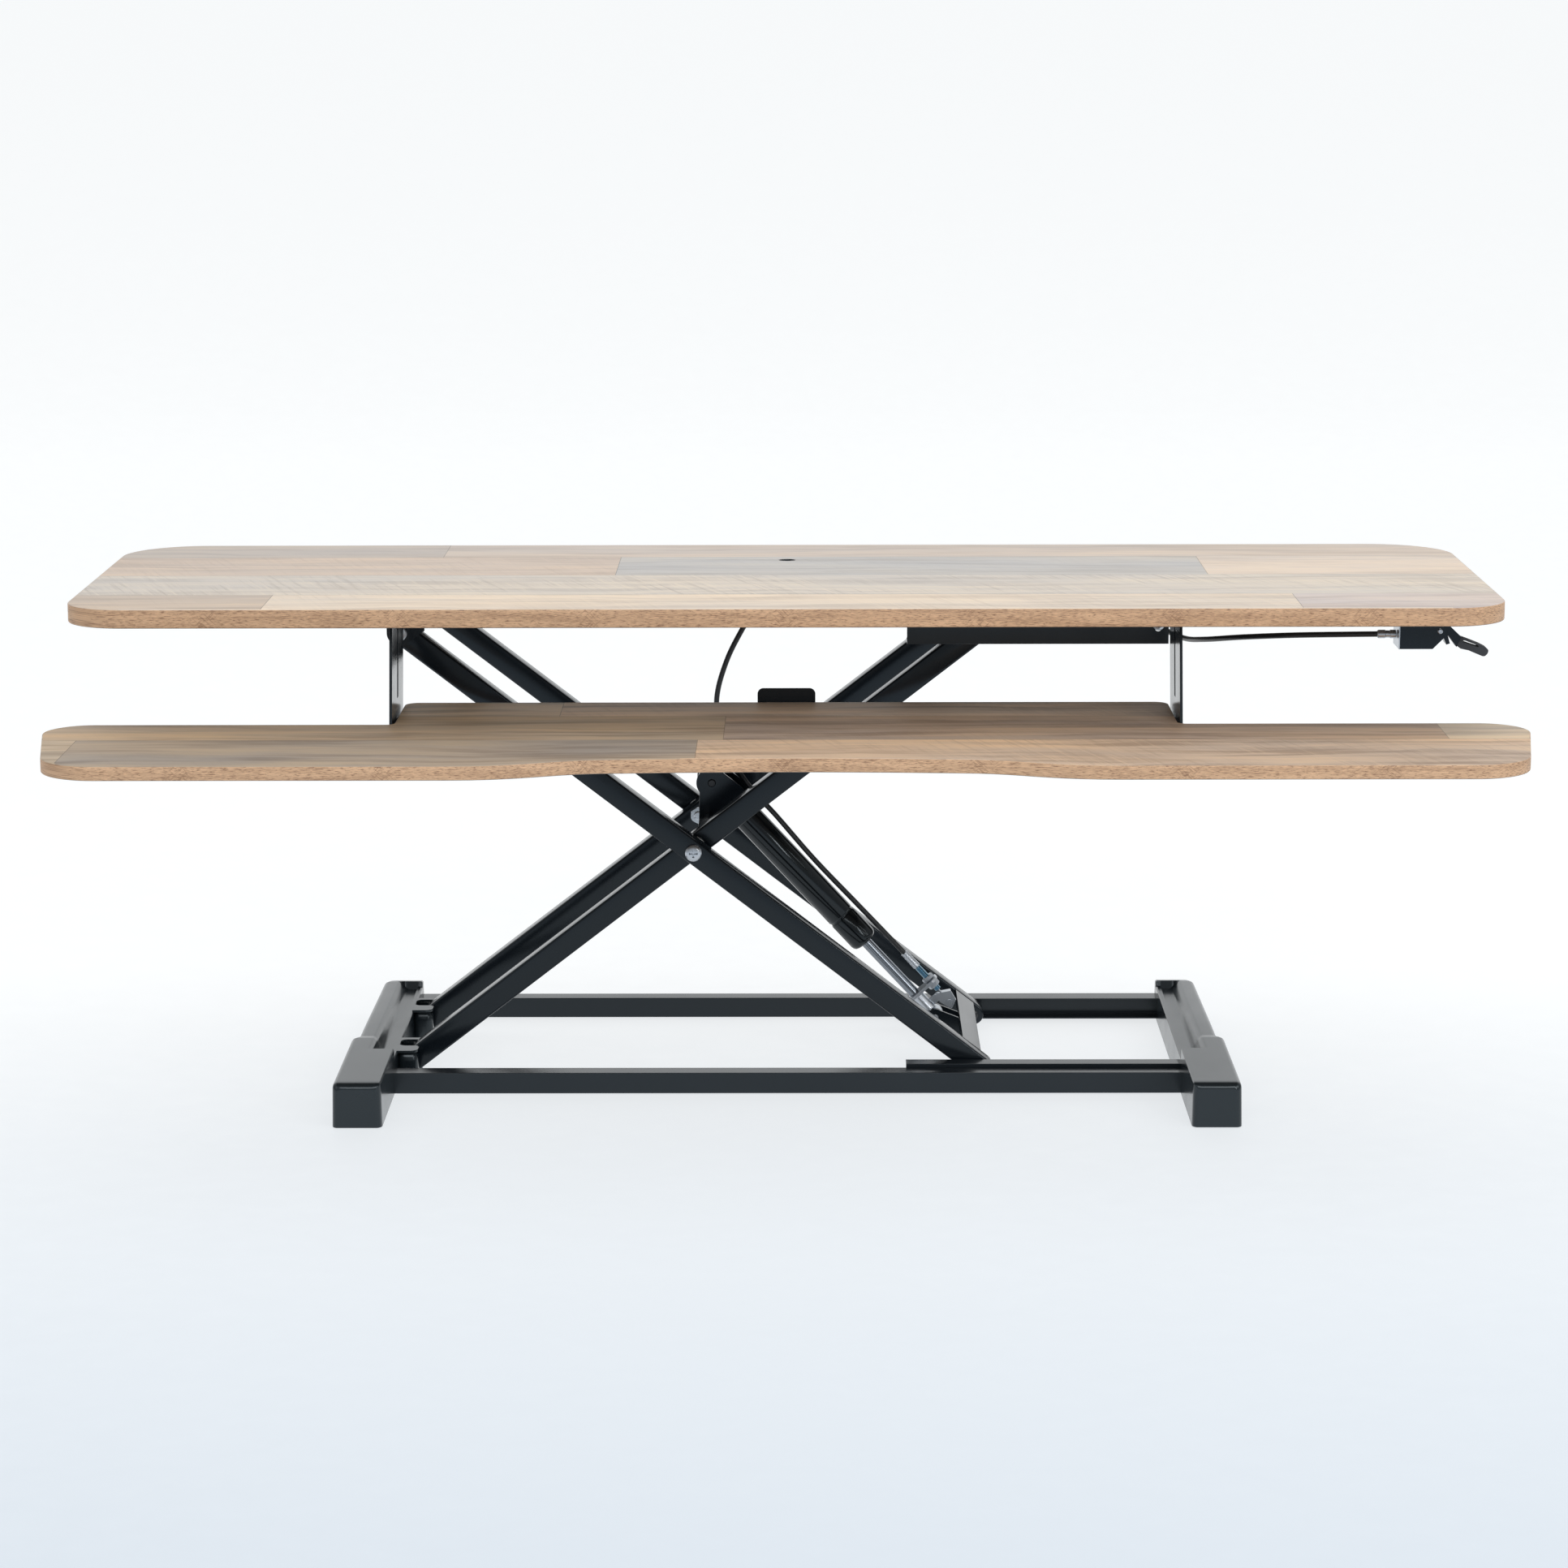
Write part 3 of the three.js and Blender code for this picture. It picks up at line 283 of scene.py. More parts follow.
def piece(name, bm, material, body, stands_for=(), smooth=35, materials=()):
    """Turns a bmesh in millimetres into a named piece that rides on a body."""
    bmesh.ops.recalc_face_normals(bm, faces=bm.faces)
    mesh = bpy.data.meshes.new(name)
    bm.to_mesh(mesh)
    bm.free()
    mesh.transform(Matrix.Scale(MM, 4))
    for part in (material, *materials):
        mesh.materials.append(part)
    mesh.shade_smooth()
    mesh.set_sharp_from_angle(angle=math.radians(smooth))
    made = bpy.data.objects.new(name, mesh)
    bpy.context.scene.collection.objects.link(made)
    if body:
        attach(made, body)
    if stands_for:
        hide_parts(*stands_for)
    return made


def soften(made, width, segments=2, angle=40):
    """Rounds a piece's edges, and keeps its flat faces flat to the light."""
    bevel = made.modifiers.new("rounded_edges", "BEVEL")
    bevel.width = width * MM
    bevel.segments = segments
    bevel.limit_method = "ANGLE"
    bevel.angle_limit = math.radians(angle)
    made.modifiers.new("flat_faces", "WEIGHTED_NORMAL")
    return made


def refine(name, material, width=0.6, segments=2):
    """Gives a CAD node rounded edges, smooth curves and its material."""
    made = nodes[name]
    custom = made.data.attributes.get("custom_normal")
    if custom:
        made.data.attributes.remove(custom)
    made.data.shade_smooth()
    weld = made.modifiers.new("weld", "WELD")
    weld.merge_threshold = 1e-5
    flat = made.modifiers.new("flat", "DECIMATE")
    flat.decimate_type = "DISSOLVE"
    flat.angle_limit = math.radians(1)
    soften(made, width, segments, 35)
    made.data.materials.clear()
    made.data.materials.append(material)


def join_loops(bm, near, far):
    """Faces between two closed loops with the same number of vertices."""
    for i in range(len(near)):
        j = (i + 1) % len(near)
        bm.faces.new((near[i], near[j], far[j], far[i]))


def bridge(bm, rings):
    """Joins rings of the same number of points, and caps both ends."""
    made = [[bm.verts.new(point) for point in ring] for ring in rings]
    for near, far in zip(made, made[1:]):
        join_loops(bm, near, far)
    bm.faces.new(made[0])
    bm.faces.new(made[-1])


def frame_on(axis):
    """Two directions square to an axis."""
    axis = Vector(axis).normalized()
    across = Vector((0, 1, 0)) if abs(axis.y) < 0.9 else Vector((1, 0, 0))
    first = across.cross(axis).normalized()
    return axis, first, axis.cross(first)


def turn_on(bm, start, axis, profile, sides_round=32):
    """A turned shape: (distance along the axis, radius) pairs.

    Two more values (number of flats, distance to a flat) cut a ring to a polygon. The values
    ("cross", narrow radius) draw a ring in to a cross, as a screwdriver's recess.
    """
    cross_arm = 0.3  # half the angle that one arm of the cross spans, in radians
    axis, first, second = frame_on(axis)
    rings = []
    for along, radius, *flats in profile:
        ring = []
        for i in range(sides_round):
            angle = 2 * math.pi * i / sides_round
            reach = radius
            if flats and flats[0] == "cross":
                off_arm = abs((angle + math.pi / 4) % (math.pi / 2) - math.pi / 4)
                reach = radius if off_arm < cross_arm else flats[1]
            elif flats:
                step = 2 * math.pi / flats[0]
                flat = flats[1] / math.cos((angle % step) - step / 2)
                reach = min(radius, flat)
            outward = first * math.cos(angle) + second * math.sin(angle)
            ring.append(Vector(start) + axis * along + outward * reach)
        rings.append(ring)
    bridge(bm, rings)


def turned(name, start, axis, profile, material, body, stands_for=(), sides_round=32, smooth=35):
    """A turned shape as a piece of its own."""
    bm = bmesh.new()
    turn_on(bm, start, axis, profile, sides_round)
    return piece(name, bm, material, body, stands_for, smooth)


def plate_on(bm, outline, low, high, place):
    """An outline given as (u, v) pairs, thickened from low to high, then placed by a function."""
    near = [bm.verts.new(place(u, v, low)) for u, v in outline]
    far = [bm.verts.new(place(u, v, high)) for u, v in outline]
    bm.faces.new(near)
    bm.faces.new(far)
    join_loops(bm, near, far)


def slotted_plate_on(bm, outer, inner, low, high, place):
    """A plate with a hole: both outlines have the same number of points."""
    loops = []
    for outline, depth in ((outer, low), (outer, high), (inner, high), (inner, low)):
        loops.append([bm.verts.new(place(u, v, depth)) for u, v in outline])
    for near, far in zip(loops, loops[1:] + loops[:1]):
        join_loops(bm, near, far)


def arc(centre, radius, start, stop, steps=8):
    """Points on a circle, between two angles in degrees."""
    angles = [math.radians(start + (stop - start) * i / steps) for i in range(steps + 1)]
    return [(centre[0] + radius * math.cos(a), centre[1] + radius * math.sin(a)) for a in angles]


def smooth_route(points, per_span):
    """A centripetal Catmull-Rom curve through the points."""
    points = [Vector(p) for p in points]
    ghosts = [points[0] * 2 - points[1], *points, points[-1] * 2 - points[-2]]
    route = []
    for a, b, c, d in zip(ghosts, ghosts[1:], ghosts[2:], ghosts[3:]):
        t1 = (b - a).length ** 0.5
        t2 = t1 + (c - b).length ** 0.5
        t3 = t2 + (d - c).length ** 0.5
        for i in range(per_span):
            t = t1 + (t2 - t1) * i / per_span
            ab = a * ((t1 - t) / t1) + b * (t / t1)
            bc = b * ((t2 - t) / (t2 - t1)) + c * ((t - t1) / (t2 - t1))
            cd = c * ((t3 - t) / (t3 - t2)) + d * ((t - t2) / (t3 - t2))
            abc = ab * ((t2 - t) / t2) + bc * (t / t2)
            bcd = bc * ((t3 - t) / (t3 - t1)) + cd * ((t - t1) / (t3 - t1))
            route.append(abc * ((t2 - t) / (t2 - t1)) + bcd * ((t - t1) / (t2 - t1)))
    return [*route, points[-1]]


def sweep_on(bm, route, radius, sides_round=16):
    """A round tube along a route, with its section carried along without twist."""
    rings = []
    first = None
    for i, point in enumerate(route):
        ahead = route[min(i + 1, len(route) - 1)]
        behind = route[max(i - 1, 0)]
        direction = (ahead - behind).normalized()
        if first is None:
            first = frame_on(direction)[1]
        first = (first - direction * first.dot(direction)).normalized()
        second = direction.cross(first)
        ring = []
        for k in range(sides_round):
            angle = 2 * math.pi * k / sides_round
            ring.append(point + (first * math.cos(angle) + second * math.sin(angle)) * radius)
        rings.append(ring)
    bridge(bm, rings)


# ---------------------------------------------------------------- boards

RIM_ROUND = 1.1
SEAM = 0.28  # half the width of the dark line between two planks
SEAM_SHADE = 0.55


def plank_boards(name, contrast, rows, body):
    """The board with rounded rims and its printed top cut into planks.

    Each row is (its front edge from the board's front, [(plank's left end, tone, saw marks), ...]).
    """
    low, high = corners(name)
    bm = bmesh.new()
    bm.from_mesh(nodes[name].data)
    bmesh.ops.scale(bm, vec=(1 / MM,) * 3, verts=bm.verts)
    bmesh.ops.remove_doubles(bm, verts=bm.verts, dist=0.01)
    bmesh.ops.dissolve_limit(bm, angle_limit=math.radians(1), verts=bm.verts, edges=bm.edges)
    rim = [
        edge for edge in bm.edges
        if len(edge.link_faces) == 2 and sum(abs(face.normal.z) > 0.5 for face in edge.link_faces) == 1
    ]
    bmesh.ops.bevel(bm, geom=rim, offset=RIM_ROUND, segments=3, profile=0.5, affect="EDGES")

    def cut_top(where, direction, test):
        faces = [
            face for face in bm.faces
            if face.normal.z > 0.99 and face.calc_center_median().z > high.z - 0.1 and test(face)
        ]
        edges = {edge for face in faces for edge in face.edges}
        verts = {vert for face in faces for vert in face.verts}
        bmesh.ops.bisect_plane(bm, geom=[*faces, *edges, *verts], plane_co=where, plane_no=direction)

    starts = [low.y + row[0] for row in rows]
    for start in starts[1:]:
        for offset in (-SEAM, SEAM):
            cut_top((0, start + offset, high.z), (0, 1, 0), lambda face: True)
    for index, (_, planks) in enumerate(rows):
        row_low = starts[index]
        row_high = starts[index + 1] if index + 1 < len(rows) else high.y + 1
        for left, _, _ in planks[1:]:
            for offset in (-SEAM, SEAM):
                cut_top(
                    (left + offset, 0, high.z), (1, 0, 0),
                    lambda face: row_low < face.calc_center_bounds().y < row_high,
                )
    mesh_tone = bm.loops.layers.float_color.new("plank_tone")
    mesh_kind = bm.loops.layers.float_color.new("plank_kind")
    laminate_slot, band_slot, underside_slot, hole_slot = range(4)
    edge_margin = 80  # an upright face further in than this, near the middle, is the cable hole's wall
    for face in bm.faces:
        centre = face.calc_center_bounds()
        far_in = abs(centre.x) < 100 and low.y + edge_margin < centre.y < high.y - edge_margin
        face.material_index = laminate_slot
        if face.normal.z < -0.5:
            face.material_index = underside_slot
        elif face.normal.z < 0.5:
            face.material_index = hole_slot if far_in else band_slot
        row = max(i for i, start in enumerate(starts) if centre.y >= start or i == 0)
        planks = rows[row][1]
        number = max(i for i, plank in enumerate(planks) if centre.x >= plank[0] or i == 0)
        tone = linear(*planks[number][1])
        near_seam = any(abs(centre.y - start) < SEAM for start in starts[1:])
        near_seam = near_seam or any(abs(centre.x - plank[0]) < SEAM for plank in planks[1:])
        if near_seam and face.normal.z > 0.99:
            tone = tuple(part * SEAM_SHADE for part in tone[:3]) + (1.0,)
        seed = (row * 1.37 + number * 0.71) % 5.0
        for loop in face.loops:
            loop[mesh_tone] = tone
            loop[mesh_kind] = (seed, planks[number][2], contrast, 1.0)
    others = (band_top, underside, plastic)
    piece(name + "_planks", bm, wood_top, body, [name], materials=others)


plank_boards("top_board", 0.75, [
    (0, [(-600, (208, 192, 177), 0.2), (-433, (232, 217, 200), 0.45), (427, (216, 204, 198), 0.2)]),
    (83, [(-600, (219, 210, 200), 1.0)]),
    (200, [(-600, (216, 199, 185), 0.4), (-149, (204, 200, 196), 0.2), (367, (229, 214, 200), 0.1)]),
    (317, [(-600, (201, 191, 183), 0.1), (-309, (216, 202, 190), 0.0)]),
], "top")
plank_boards("keyboard_tray", 1.5, [
    (0, [(-620, (205, 184, 158), 0.0), (-583, (172, 158, 144), 0.1), (-72, (210, 184, 160), 0.8)]),
    (116, [(-620, (196, 172, 145), 0.1), (-51, (190, 166, 146), 0.3), (545, (214, 196, 174), 0.0)]),
    # The rear row lies in the top board's shadow. Its plank tones are raised with painted light that
    # lifts that shadow, so they are paler than the rows in front.
    (229, [(-620, (226, 202, 176), 0.1), (-192, (220, 194, 170), 0.5)]),
], "top")


# ---------------------------------------------------------------- arms

def arm_place(pitch):
    """Places (distance along an arm, distance across it, depth) in the frame."""
    along = Vector((math.cos(pitch), 0, math.sin(pitch)))
    across = Vector((-math.sin(pitch), 0, math.cos(pitch)))

    def place(s, t, y):
        return crossing + along * s + across * t + Vector((0, y, 0))
    return place


def make_arm(side, pair, faces, pitch):
    """A square tube with rounded corners and round ends."""
    bm = bmesh.new()
    place = arm_place(pitch)
    sign = sides[side]
    corner = 2.0
    insets = []
    for step in range(5):
        angle = math.radians(22.5 * step)
        insets.append((corner * (1 - math.sin(angle)), corner * (1 - math.cos(angle))))
    ring_places = [(faces[0] + depth, inset) for inset, depth in insets]
    ring_places += [(faces[1] - depth, inset) for inset, depth in reversed(insets)]
    rings = []
    for y, inset in ring_places:
        radius = tube / 2 - inset
        outline = arc((half_arm, 0), radius, -90, 90, 12) + arc((-half_arm, 0), radius, 90, 270, 12)
        rings.append([place(s, t, sign * y) for s, t in outline])
    bridge(bm, rings)
    name = f"arm_{pair}_{side}"
    piece(name + "_tube", bm, steel, f"{pair}_arms", [name], smooth=28)


for side_name in sides:
    make_arm(side_name, "inner", inner_pair, lift_angle)
    make_arm(side_name, "outer", outer_pair, -lift_angle)


# ---------------------------------------------------------------- bolts, pins, nuts and rollers

OUT = {"front": Vector((0, -1, 0)), "rear": Vector((0, 1, 0))}


def crossed_head(bm, start, axis, radius, height):
    """A domed round head with a cross recess."""
    wide, narrow = radius * 0.5, radius * 0.17
    turn_on(bm, start, axis, [
        (0, radius * 0.97), (height * 0.12, radius), (height * 0.4, radius),
        (height * 0.66, radius * 0.93), (height * 0.86, radius * 0.78), (height, radius * 0.56),
        (height, wide, "cross", narrow), (height * 0.45, wide * 0.8, "cross", narrow * 0.8),
    ], 48)


def make_crossing(side):
    """The bolt that joins an arm pair where it crosses, its nut and the washer between the arms."""
    out = OUT[side]
    face = Vector((crossing.x, middle_y, crossing.z))
    bm = bmesh.new()
    turn_on(bm, face + out * (inner_pair[0] - 9), out, [
        (0, 3.2), (0.8, 4), (outer_pair[1] - inner_pair[0] + 9.5, 4),
    ])
    crossed_head(bm, face + out * (outer_pair[1] + 0.2), out, 7.6, 4.2)
    piece(f"crossing_bolt_{side}_head", bm, zinc, "inner_arms", [f"crossing_bolt_{side}"])
    flat = 6.9  # from the nut's middle to a flat
    turned(f"crossing_nut_{side}_hex", face + out * (inner_pair[0] - 0.3), -out, [
        (0, 7.4, 6, flat), (0.7, 8.4, 6, flat), (6.2, 8.4, 6, flat), (6.9, 7.2, 6, flat),
        (6.9, 4.2), (6, 4.1),
    ], zinc, "inner_arms", [f"crossing_nut_{side}"], 48)
    turned(
        f"crossing_washer_{side}", face + out * (inner_pair[1] + 0.3), out,
        [(0, 9.3), (0.4, 9.9), (4, 9.9), (4.4, 9.3)], nylon, "inner_arms",
    )


def make_roller(level, side):
    """A nylon wheel with a groove and a raised hub, and the axle's riveted ends."""
    name = f"roller_{level}_{side}"
    low, high = corners(name)
    out = OUT[side]
    body = f"roller_{level[0]}{side[0]}"
    centre = Vector(((low.x + high.x) / 2, low.y if side == "rear" else high.y, (low.z + high.z) / 2))
    radius = (high.z - low.z) / 2
    turned(name + "_wheel", centre, out, [
        (0, 4.2), (0, radius - 1.2), (0.8, radius - 0.2), (1.6, radius), (8.4, radius),
        (9.2, radius - 0.2), (10, radius - 1.2), (10, 6.2), (9.1, 5.8), (9.1, 3.5),
    ], nylon if level == "top" else plastic, body, [name], 40)
    axle_low, axle_high = corners(f"roller_axle_{level}_{side}")
    near = axle_high.y if side == "front" else axle_low.y
    far = axle_low.y if side == "front" else axle_high.y
    reach = abs(far - near)
    arms = "inner_arms" if level == "top" else "outer_arms"
    start = Vector((centre.x, near, centre.z))
    turned(f"roller_axle_{level}_{side}_rivet", start, out, [
        (0, 2.2), (0.25, 3.8), (0.9, 4.8), (2.4, 5), (2.4, 3), (reach - 0.6, 3), (reach, 2.4),
    ], dark_bolt, arms, [f"roller_axle_{level}_{side}"], 32)


def make_pins(side):
    """The upper pivot's headed pin and the base pivot's plain pin."""
    low, high = corners(f"top_pivot_pin_{side}")
    out = OUT[side]
    start = Vector((pivot["top_pivot"].x, high.y if side == "front" else low.y, pivot["top_pivot"].z))
    length = high.y - low.y
    bm = bmesh.new()
    turn_on(bm, start, out, [(0, 3.4), (0.6, 4), (length - 2.9, 4)])
    crossed_head(bm, start + out * (length - 3), out, 7, 3)
    piece(f"top_pivot_pin_{side}_head", bm, zinc, "top", [f"top_pivot_pin_{side}"])
    low, high = corners(f"base_pivot_pin_{side}")
    start = Vector((pivot["lift"].x, low.y, pivot["lift"].z))
    turned(f"base_pivot_pin_{side}_rod", start, (0, 1, 0), [
        (0, 3.2), (0.8, 4), (high.y - low.y - 0.8, 4), (high.y - low.y, 3.2),
    ], zinc, "base", [f"base_pivot_pin_{side}"])


def make_stop_bolt():
    """The bolt that stops the front upper roller: a low crossed head on a plain shank."""
    low, high = corners("roller_stop_bolt")
    centre = Vector(((low.x + high.x) / 2, high.y, (low.z + high.z) / 2 + 3))
    bm = bmesh.new()
    turn_on(bm, centre, (0, -1, 0), [(0, 2.2), (0.6, 2.6), (high.y - low.y - 2.8, 2.6)], 24)
    crossed_head(bm, centre + Vector((0, low.y - high.y + 3, 0)), (0, -1, 0), 5.2, 3)
    piece("roller_stop_bolt_head", bm, zinc, "top", ["roller_stop_bolt"])


make_stop_bolt()
for side_name in sides:
    make_crossing(side_name)
    make_pins(side_name)
    for level_name in ("base", "top"):
        make_roller(level_name, side_name)


# ---------------------------------------------------------------- feet

foot_low, foot_high = corners("foot_cover_right")
foot_inner = foot_low.x
foot_outer = foot_high.x
foot_front, foot_rear, foot_top = foot_low.y, foot_high.y, foot_high.z
shelf_height = 29
groove_height = 26.5
block_end = foot_front + 122
groove_end = foot_rear - 14
step_from, step_to = foot_front + 158, foot_front + 172
step_depth = 5.5
front_round = 6.5


def eased(value, low, high):
    share = min(1.0, max(0.0, (value - low) / (high - low)))
    return share * share * (3 - 2 * share)


def foot_section(y):
    """The cover's section at one place: (distance from its inner face, height) pairs."""
    width = foot_outer - foot_inner
    back = eased(y, step_from, step_to)
    outer = width - step_depth * back
    inner = 0.0
    top = foot_top - 1.0 * back - 4.5 * eased(y, step_to, foot_rear)
    if y < foot_front + front_round:
        lean = 1 - (y - foot_front) / front_round
        drop = 1 - math.sqrt(max(0.0, 1 - lean * lean))
        top -= front_round * 0.9 * drop
        inner += front_round * 0.8 * drop
        outer -= front_round * 0.8 * drop
    heel = 20.0
    if y > foot_rear - heel:
        lean = (y - (foot_rear - heel)) / heel
        outer -= (heel - 4) * (1 - math.sqrt(max(0.0, 1 - lean * lean)))
        top -= 2.5 * lean * lean
    if y > foot_rear - 4:
        inner += 3 * (y - (foot_rear - 4)) / 4
    shelf = shelf_height
    groove = groove_height
    if y < block_end or y > groove_end:
        shelf = groove = top
    dip = 0.6 if groove < top - 1 else 0.0
    draft = 0.7
    slope_from, slope_to = inner + 15, min(inner + 22, outer - 8)
    return [
        (inner, 0.5), (inner + draft, shelf - 1.2), (inner + draft + 1.2, shelf),
        (inner + 5, shelf), (inner + 5.6, groove), (slope_from - 1, groove),
        (slope_from + 1.5, groove + (top - groove) * 0.22),
        (slope_from + 4, groove + (top - groove) * 0.66),
        (slope_to, top - dip), (slope_to + 2, top),
        (outer - 5.0, top), (outer - 2.6, top - 0.8), (outer - 1.2, top - 2.4),
        (outer - draft, top - 5.0), (outer, 0.5),
    ]


def make_foot(end):
    sign = ends[end]
    bm = bmesh.new()
    stations = [foot_front + d for d in (0, 0.1, 0.35, 0.8, 1.5, 2.6, 4.2, front_round, 12, 60)]
    stations += [block_end - 0.8, block_end + 0.8, block_end + 15]
    stations += [step_from + (step_to - step_from) * i / 5 for i in range(6)]
    stations += [step_to + 30 + 22 * i for i in range(5)]
    stations += [groove_end - 4, groove_end - 0.8, groove_end + 0.8]
    stations += [foot_rear - d for d in (12, 9, 6, 4, 2.4, 1.2, 0.4, 0)]
    rings = []
    for y in sorted(stations):
        rings.append([(sign * (foot_inner + d), y, z) for d, z in foot_section(y)])
    bridge(bm, rings)
    name = f"foot_cover_{end}"
    cover = piece(name + "_shell", bm, plastic, "base", [name], 50)
    soften(cover, 0.7, 2, 42)


def rounded_box_on(bm, x_pair, y_pair, levels, radius):
    """A block with rounded corners in plan. Each level is (height, how far it spreads there)."""
    rings = []
    for z, spread in levels:
        x0, x1 = x_pair[0] - spread, x_pair[1] + spread
        y0, y1 = y_pair[0] - spread, y_pair[1] + spread
        r = min(radius + spread, (x1 - x0) / 2 - 0.1, (y1 - y0) / 2 - 0.1)
        outline = arc((x1 - r, y1 - r), r, 0, 90, 6) + arc((x0 + r, y1 - r), r, 90, 180, 6)
        outline += arc((x0 + r, y0 + r), r, 180, 270, 6) + arc((x1 - r, y0 + r), r, 270, 360, 6)
        rings.append([(x, y, z) for x, y in outline])
    bridge(bm, rings)


def make_yoke(side):
    """The left foot's fork: a slotted lobe, a cup in front of the arm and a wall behind it."""
    y_arm = middle_y + (-inner_pair[1] if side == "front" else inner_pair[0])
    slot = (y_arm - 1, y_arm + tube + 1)
    y0, y1 = slot[0] - 19, slot[1] + 7
    reach = -330.0  # the lobe's inner end
    root = -foot_inner - 2  # hidden inside the foot
    bm = bmesh.new()
    outline = arc((reach - 7, y0 + 7), 7, -90, 0, 6) + [(reach, slot[0] - 2)]
    outline += arc((reach - 2, slot[0] - 2), 2, 0, 90, 4)
    outline += [(root + 8.5, slot[0])] + arc((root + 7, slot[0] + 6), 6, 270, 180, 5)
    outline += arc((root + 7, slot[1] - 6), 6, 180, 90, 5)
    outline += arc((reach - 2, slot[1] + 2), 2, -90, 0, 4) + arc((reach - 3, y1 - 3), 3, 0, 90, 4)
    outline += [(root, y1), (root, y0)]
    plate_on(bm, outline, shelf_height - 2.2, shelf_height, lambda x, y, z: (x, y, z))
    lobe = piece(f"yoke_lobe_{side}", bm, plastic, "base", smooth=40)
    soften(lobe, 0.8, 3, 40)
    bm = bmesh.new()
    levels = [(0.5, 0.0), (6, -0.2), (18, -0.7), (22, -1.1), (24.4, -2.0), (26.4, -3.6)]
    rounded_box_on(bm, (root, reach + 0.5), (y0 + 0.5, slot[0] - 0.5), levels, 6.5)
    rounded_box_on(bm, (root, reach), (slot[1] + 0.3, y1), [(0.5, 0.0), (26.2, -0.3)], 2.5)
    piece(f"yoke_cup_{side}", bm, plastic, "base", smooth=40)


for end_name in ends:
    make_foot(end_name)
for side_name in sides:
    make_yoke(side_name)


# ---------------------------------------------------------------- gas spring and release

spring_foot = pivot["spring_foot"]
spring_axis = -Vector(joint["spring_stroke"]["axis"])  # from the upper eye down to the foot
spring_across = Vector((-spring_axis.z, 0, spring_axis.x))
if spring_across.z < 0:
    spring_across = -spring_across
cylinder_top = corners("gas_spring_cylinder")[1].z


def on_spring(s, t=0.0, y=0.0):
    """A point s up the spring's line from its foot (negative), t across it and y aside."""
    return spring_foot + spring_axis * s + spring_across * t + Vector((0, y, 0))


cylinder_radius = 13
eye_hole_radius = 8.7
upper_eye_height = cylinder_top - cylinder_radius
span = (upper_eye_height - spring_foot.z) / -spring_axis.z  # from the upper eye to the foot
upper_eye = on_spring(-span)

turned("gas_spring_cylinder_body", upper_eye, spring_axis, [
    (13, 5), (13.6, 7.6), (15, 10.5), (17, 12.4), (19, cylinder_radius),
    (170.6, cylinder_radius), (171.2, 12.6), (171.8, 12.2),
    (173.2, 12.2), (173.8, 12.6), (174.4, cylinder_radius),
    (200, cylinder_radius), (202.4, 12.5), (204, 11.4), (205, 9.6), (205, 5.6), (204, 5.4),
], gloss_black, "spring_cylinder", ["gas_spring_cylinder"], 56)


def make_spring_eye():
    """The flat ring at the cylinder's top, with room round its pin."""
    bm = bmesh.new()
    outer = arc((0, 0), cylinder_radius, 0, 360, 40)[:-1]
    inner = arc((0, 0), eye_hole_radius, 0, 360, 40)[:-1]
    slotted_plate_on(bm, outer, inner, -8, 8, lambda s, t, y: on_spring(s - span, t, y))
    eye = piece("gas_spring_eye", bm, gloss_black, "spring_cylinder", smooth=40)
    soften(eye, 0.7, 2)


make_spring_eye()
turned("gas_spring_rod_chrome", upper_eye, spring_axis, [
    (100, 4), (101, 5), (span - 27.3, 5),
], chrome, "spring_rod", ["gas_spring_rod"], 40)


adjuster_offset = 18.5  # from the spring's line to the line where the wire runs


def make_release_head():
    """The flange that holds the cable's end, the rod's end barrel and the lower eye."""
    bm = bmesh.new()
    flange = [(-9, -11), (9, -11), (9, 20.5), (5, 25), (-5, 25), (-9, 20.5)]
    plate_on(bm, flange, -27, -24, lambda y, t, s: on_spring(s, t, y))
    turn_on(bm, on_spring(-24.5), spring_axis, [
        (0, 6.9), (0.8, 6.9), (1.6, 6.3), (13, 6.3), (14, 6.7), (19.5, 6.7), (20.5, 5.8),
    ], 36)
    turn_on(bm, on_spring(0, 0, -8.8), (0, 1, 0), [
        (0, 7.4), (0.6, 8), (17, 8), (17.6, 7.4),
    ], 36)
    ear = arc((-10.5, 14), 3.5, 0, 180, 10) + [(-14, 0), (-7, 0)]
    plate_on(bm, ear, 0, 2.5, on_spring)
    made = piece("release_head_body", bm, zinc, "spring_rod", ["release_head"])
    soften(made, 0.5, 2, 40)


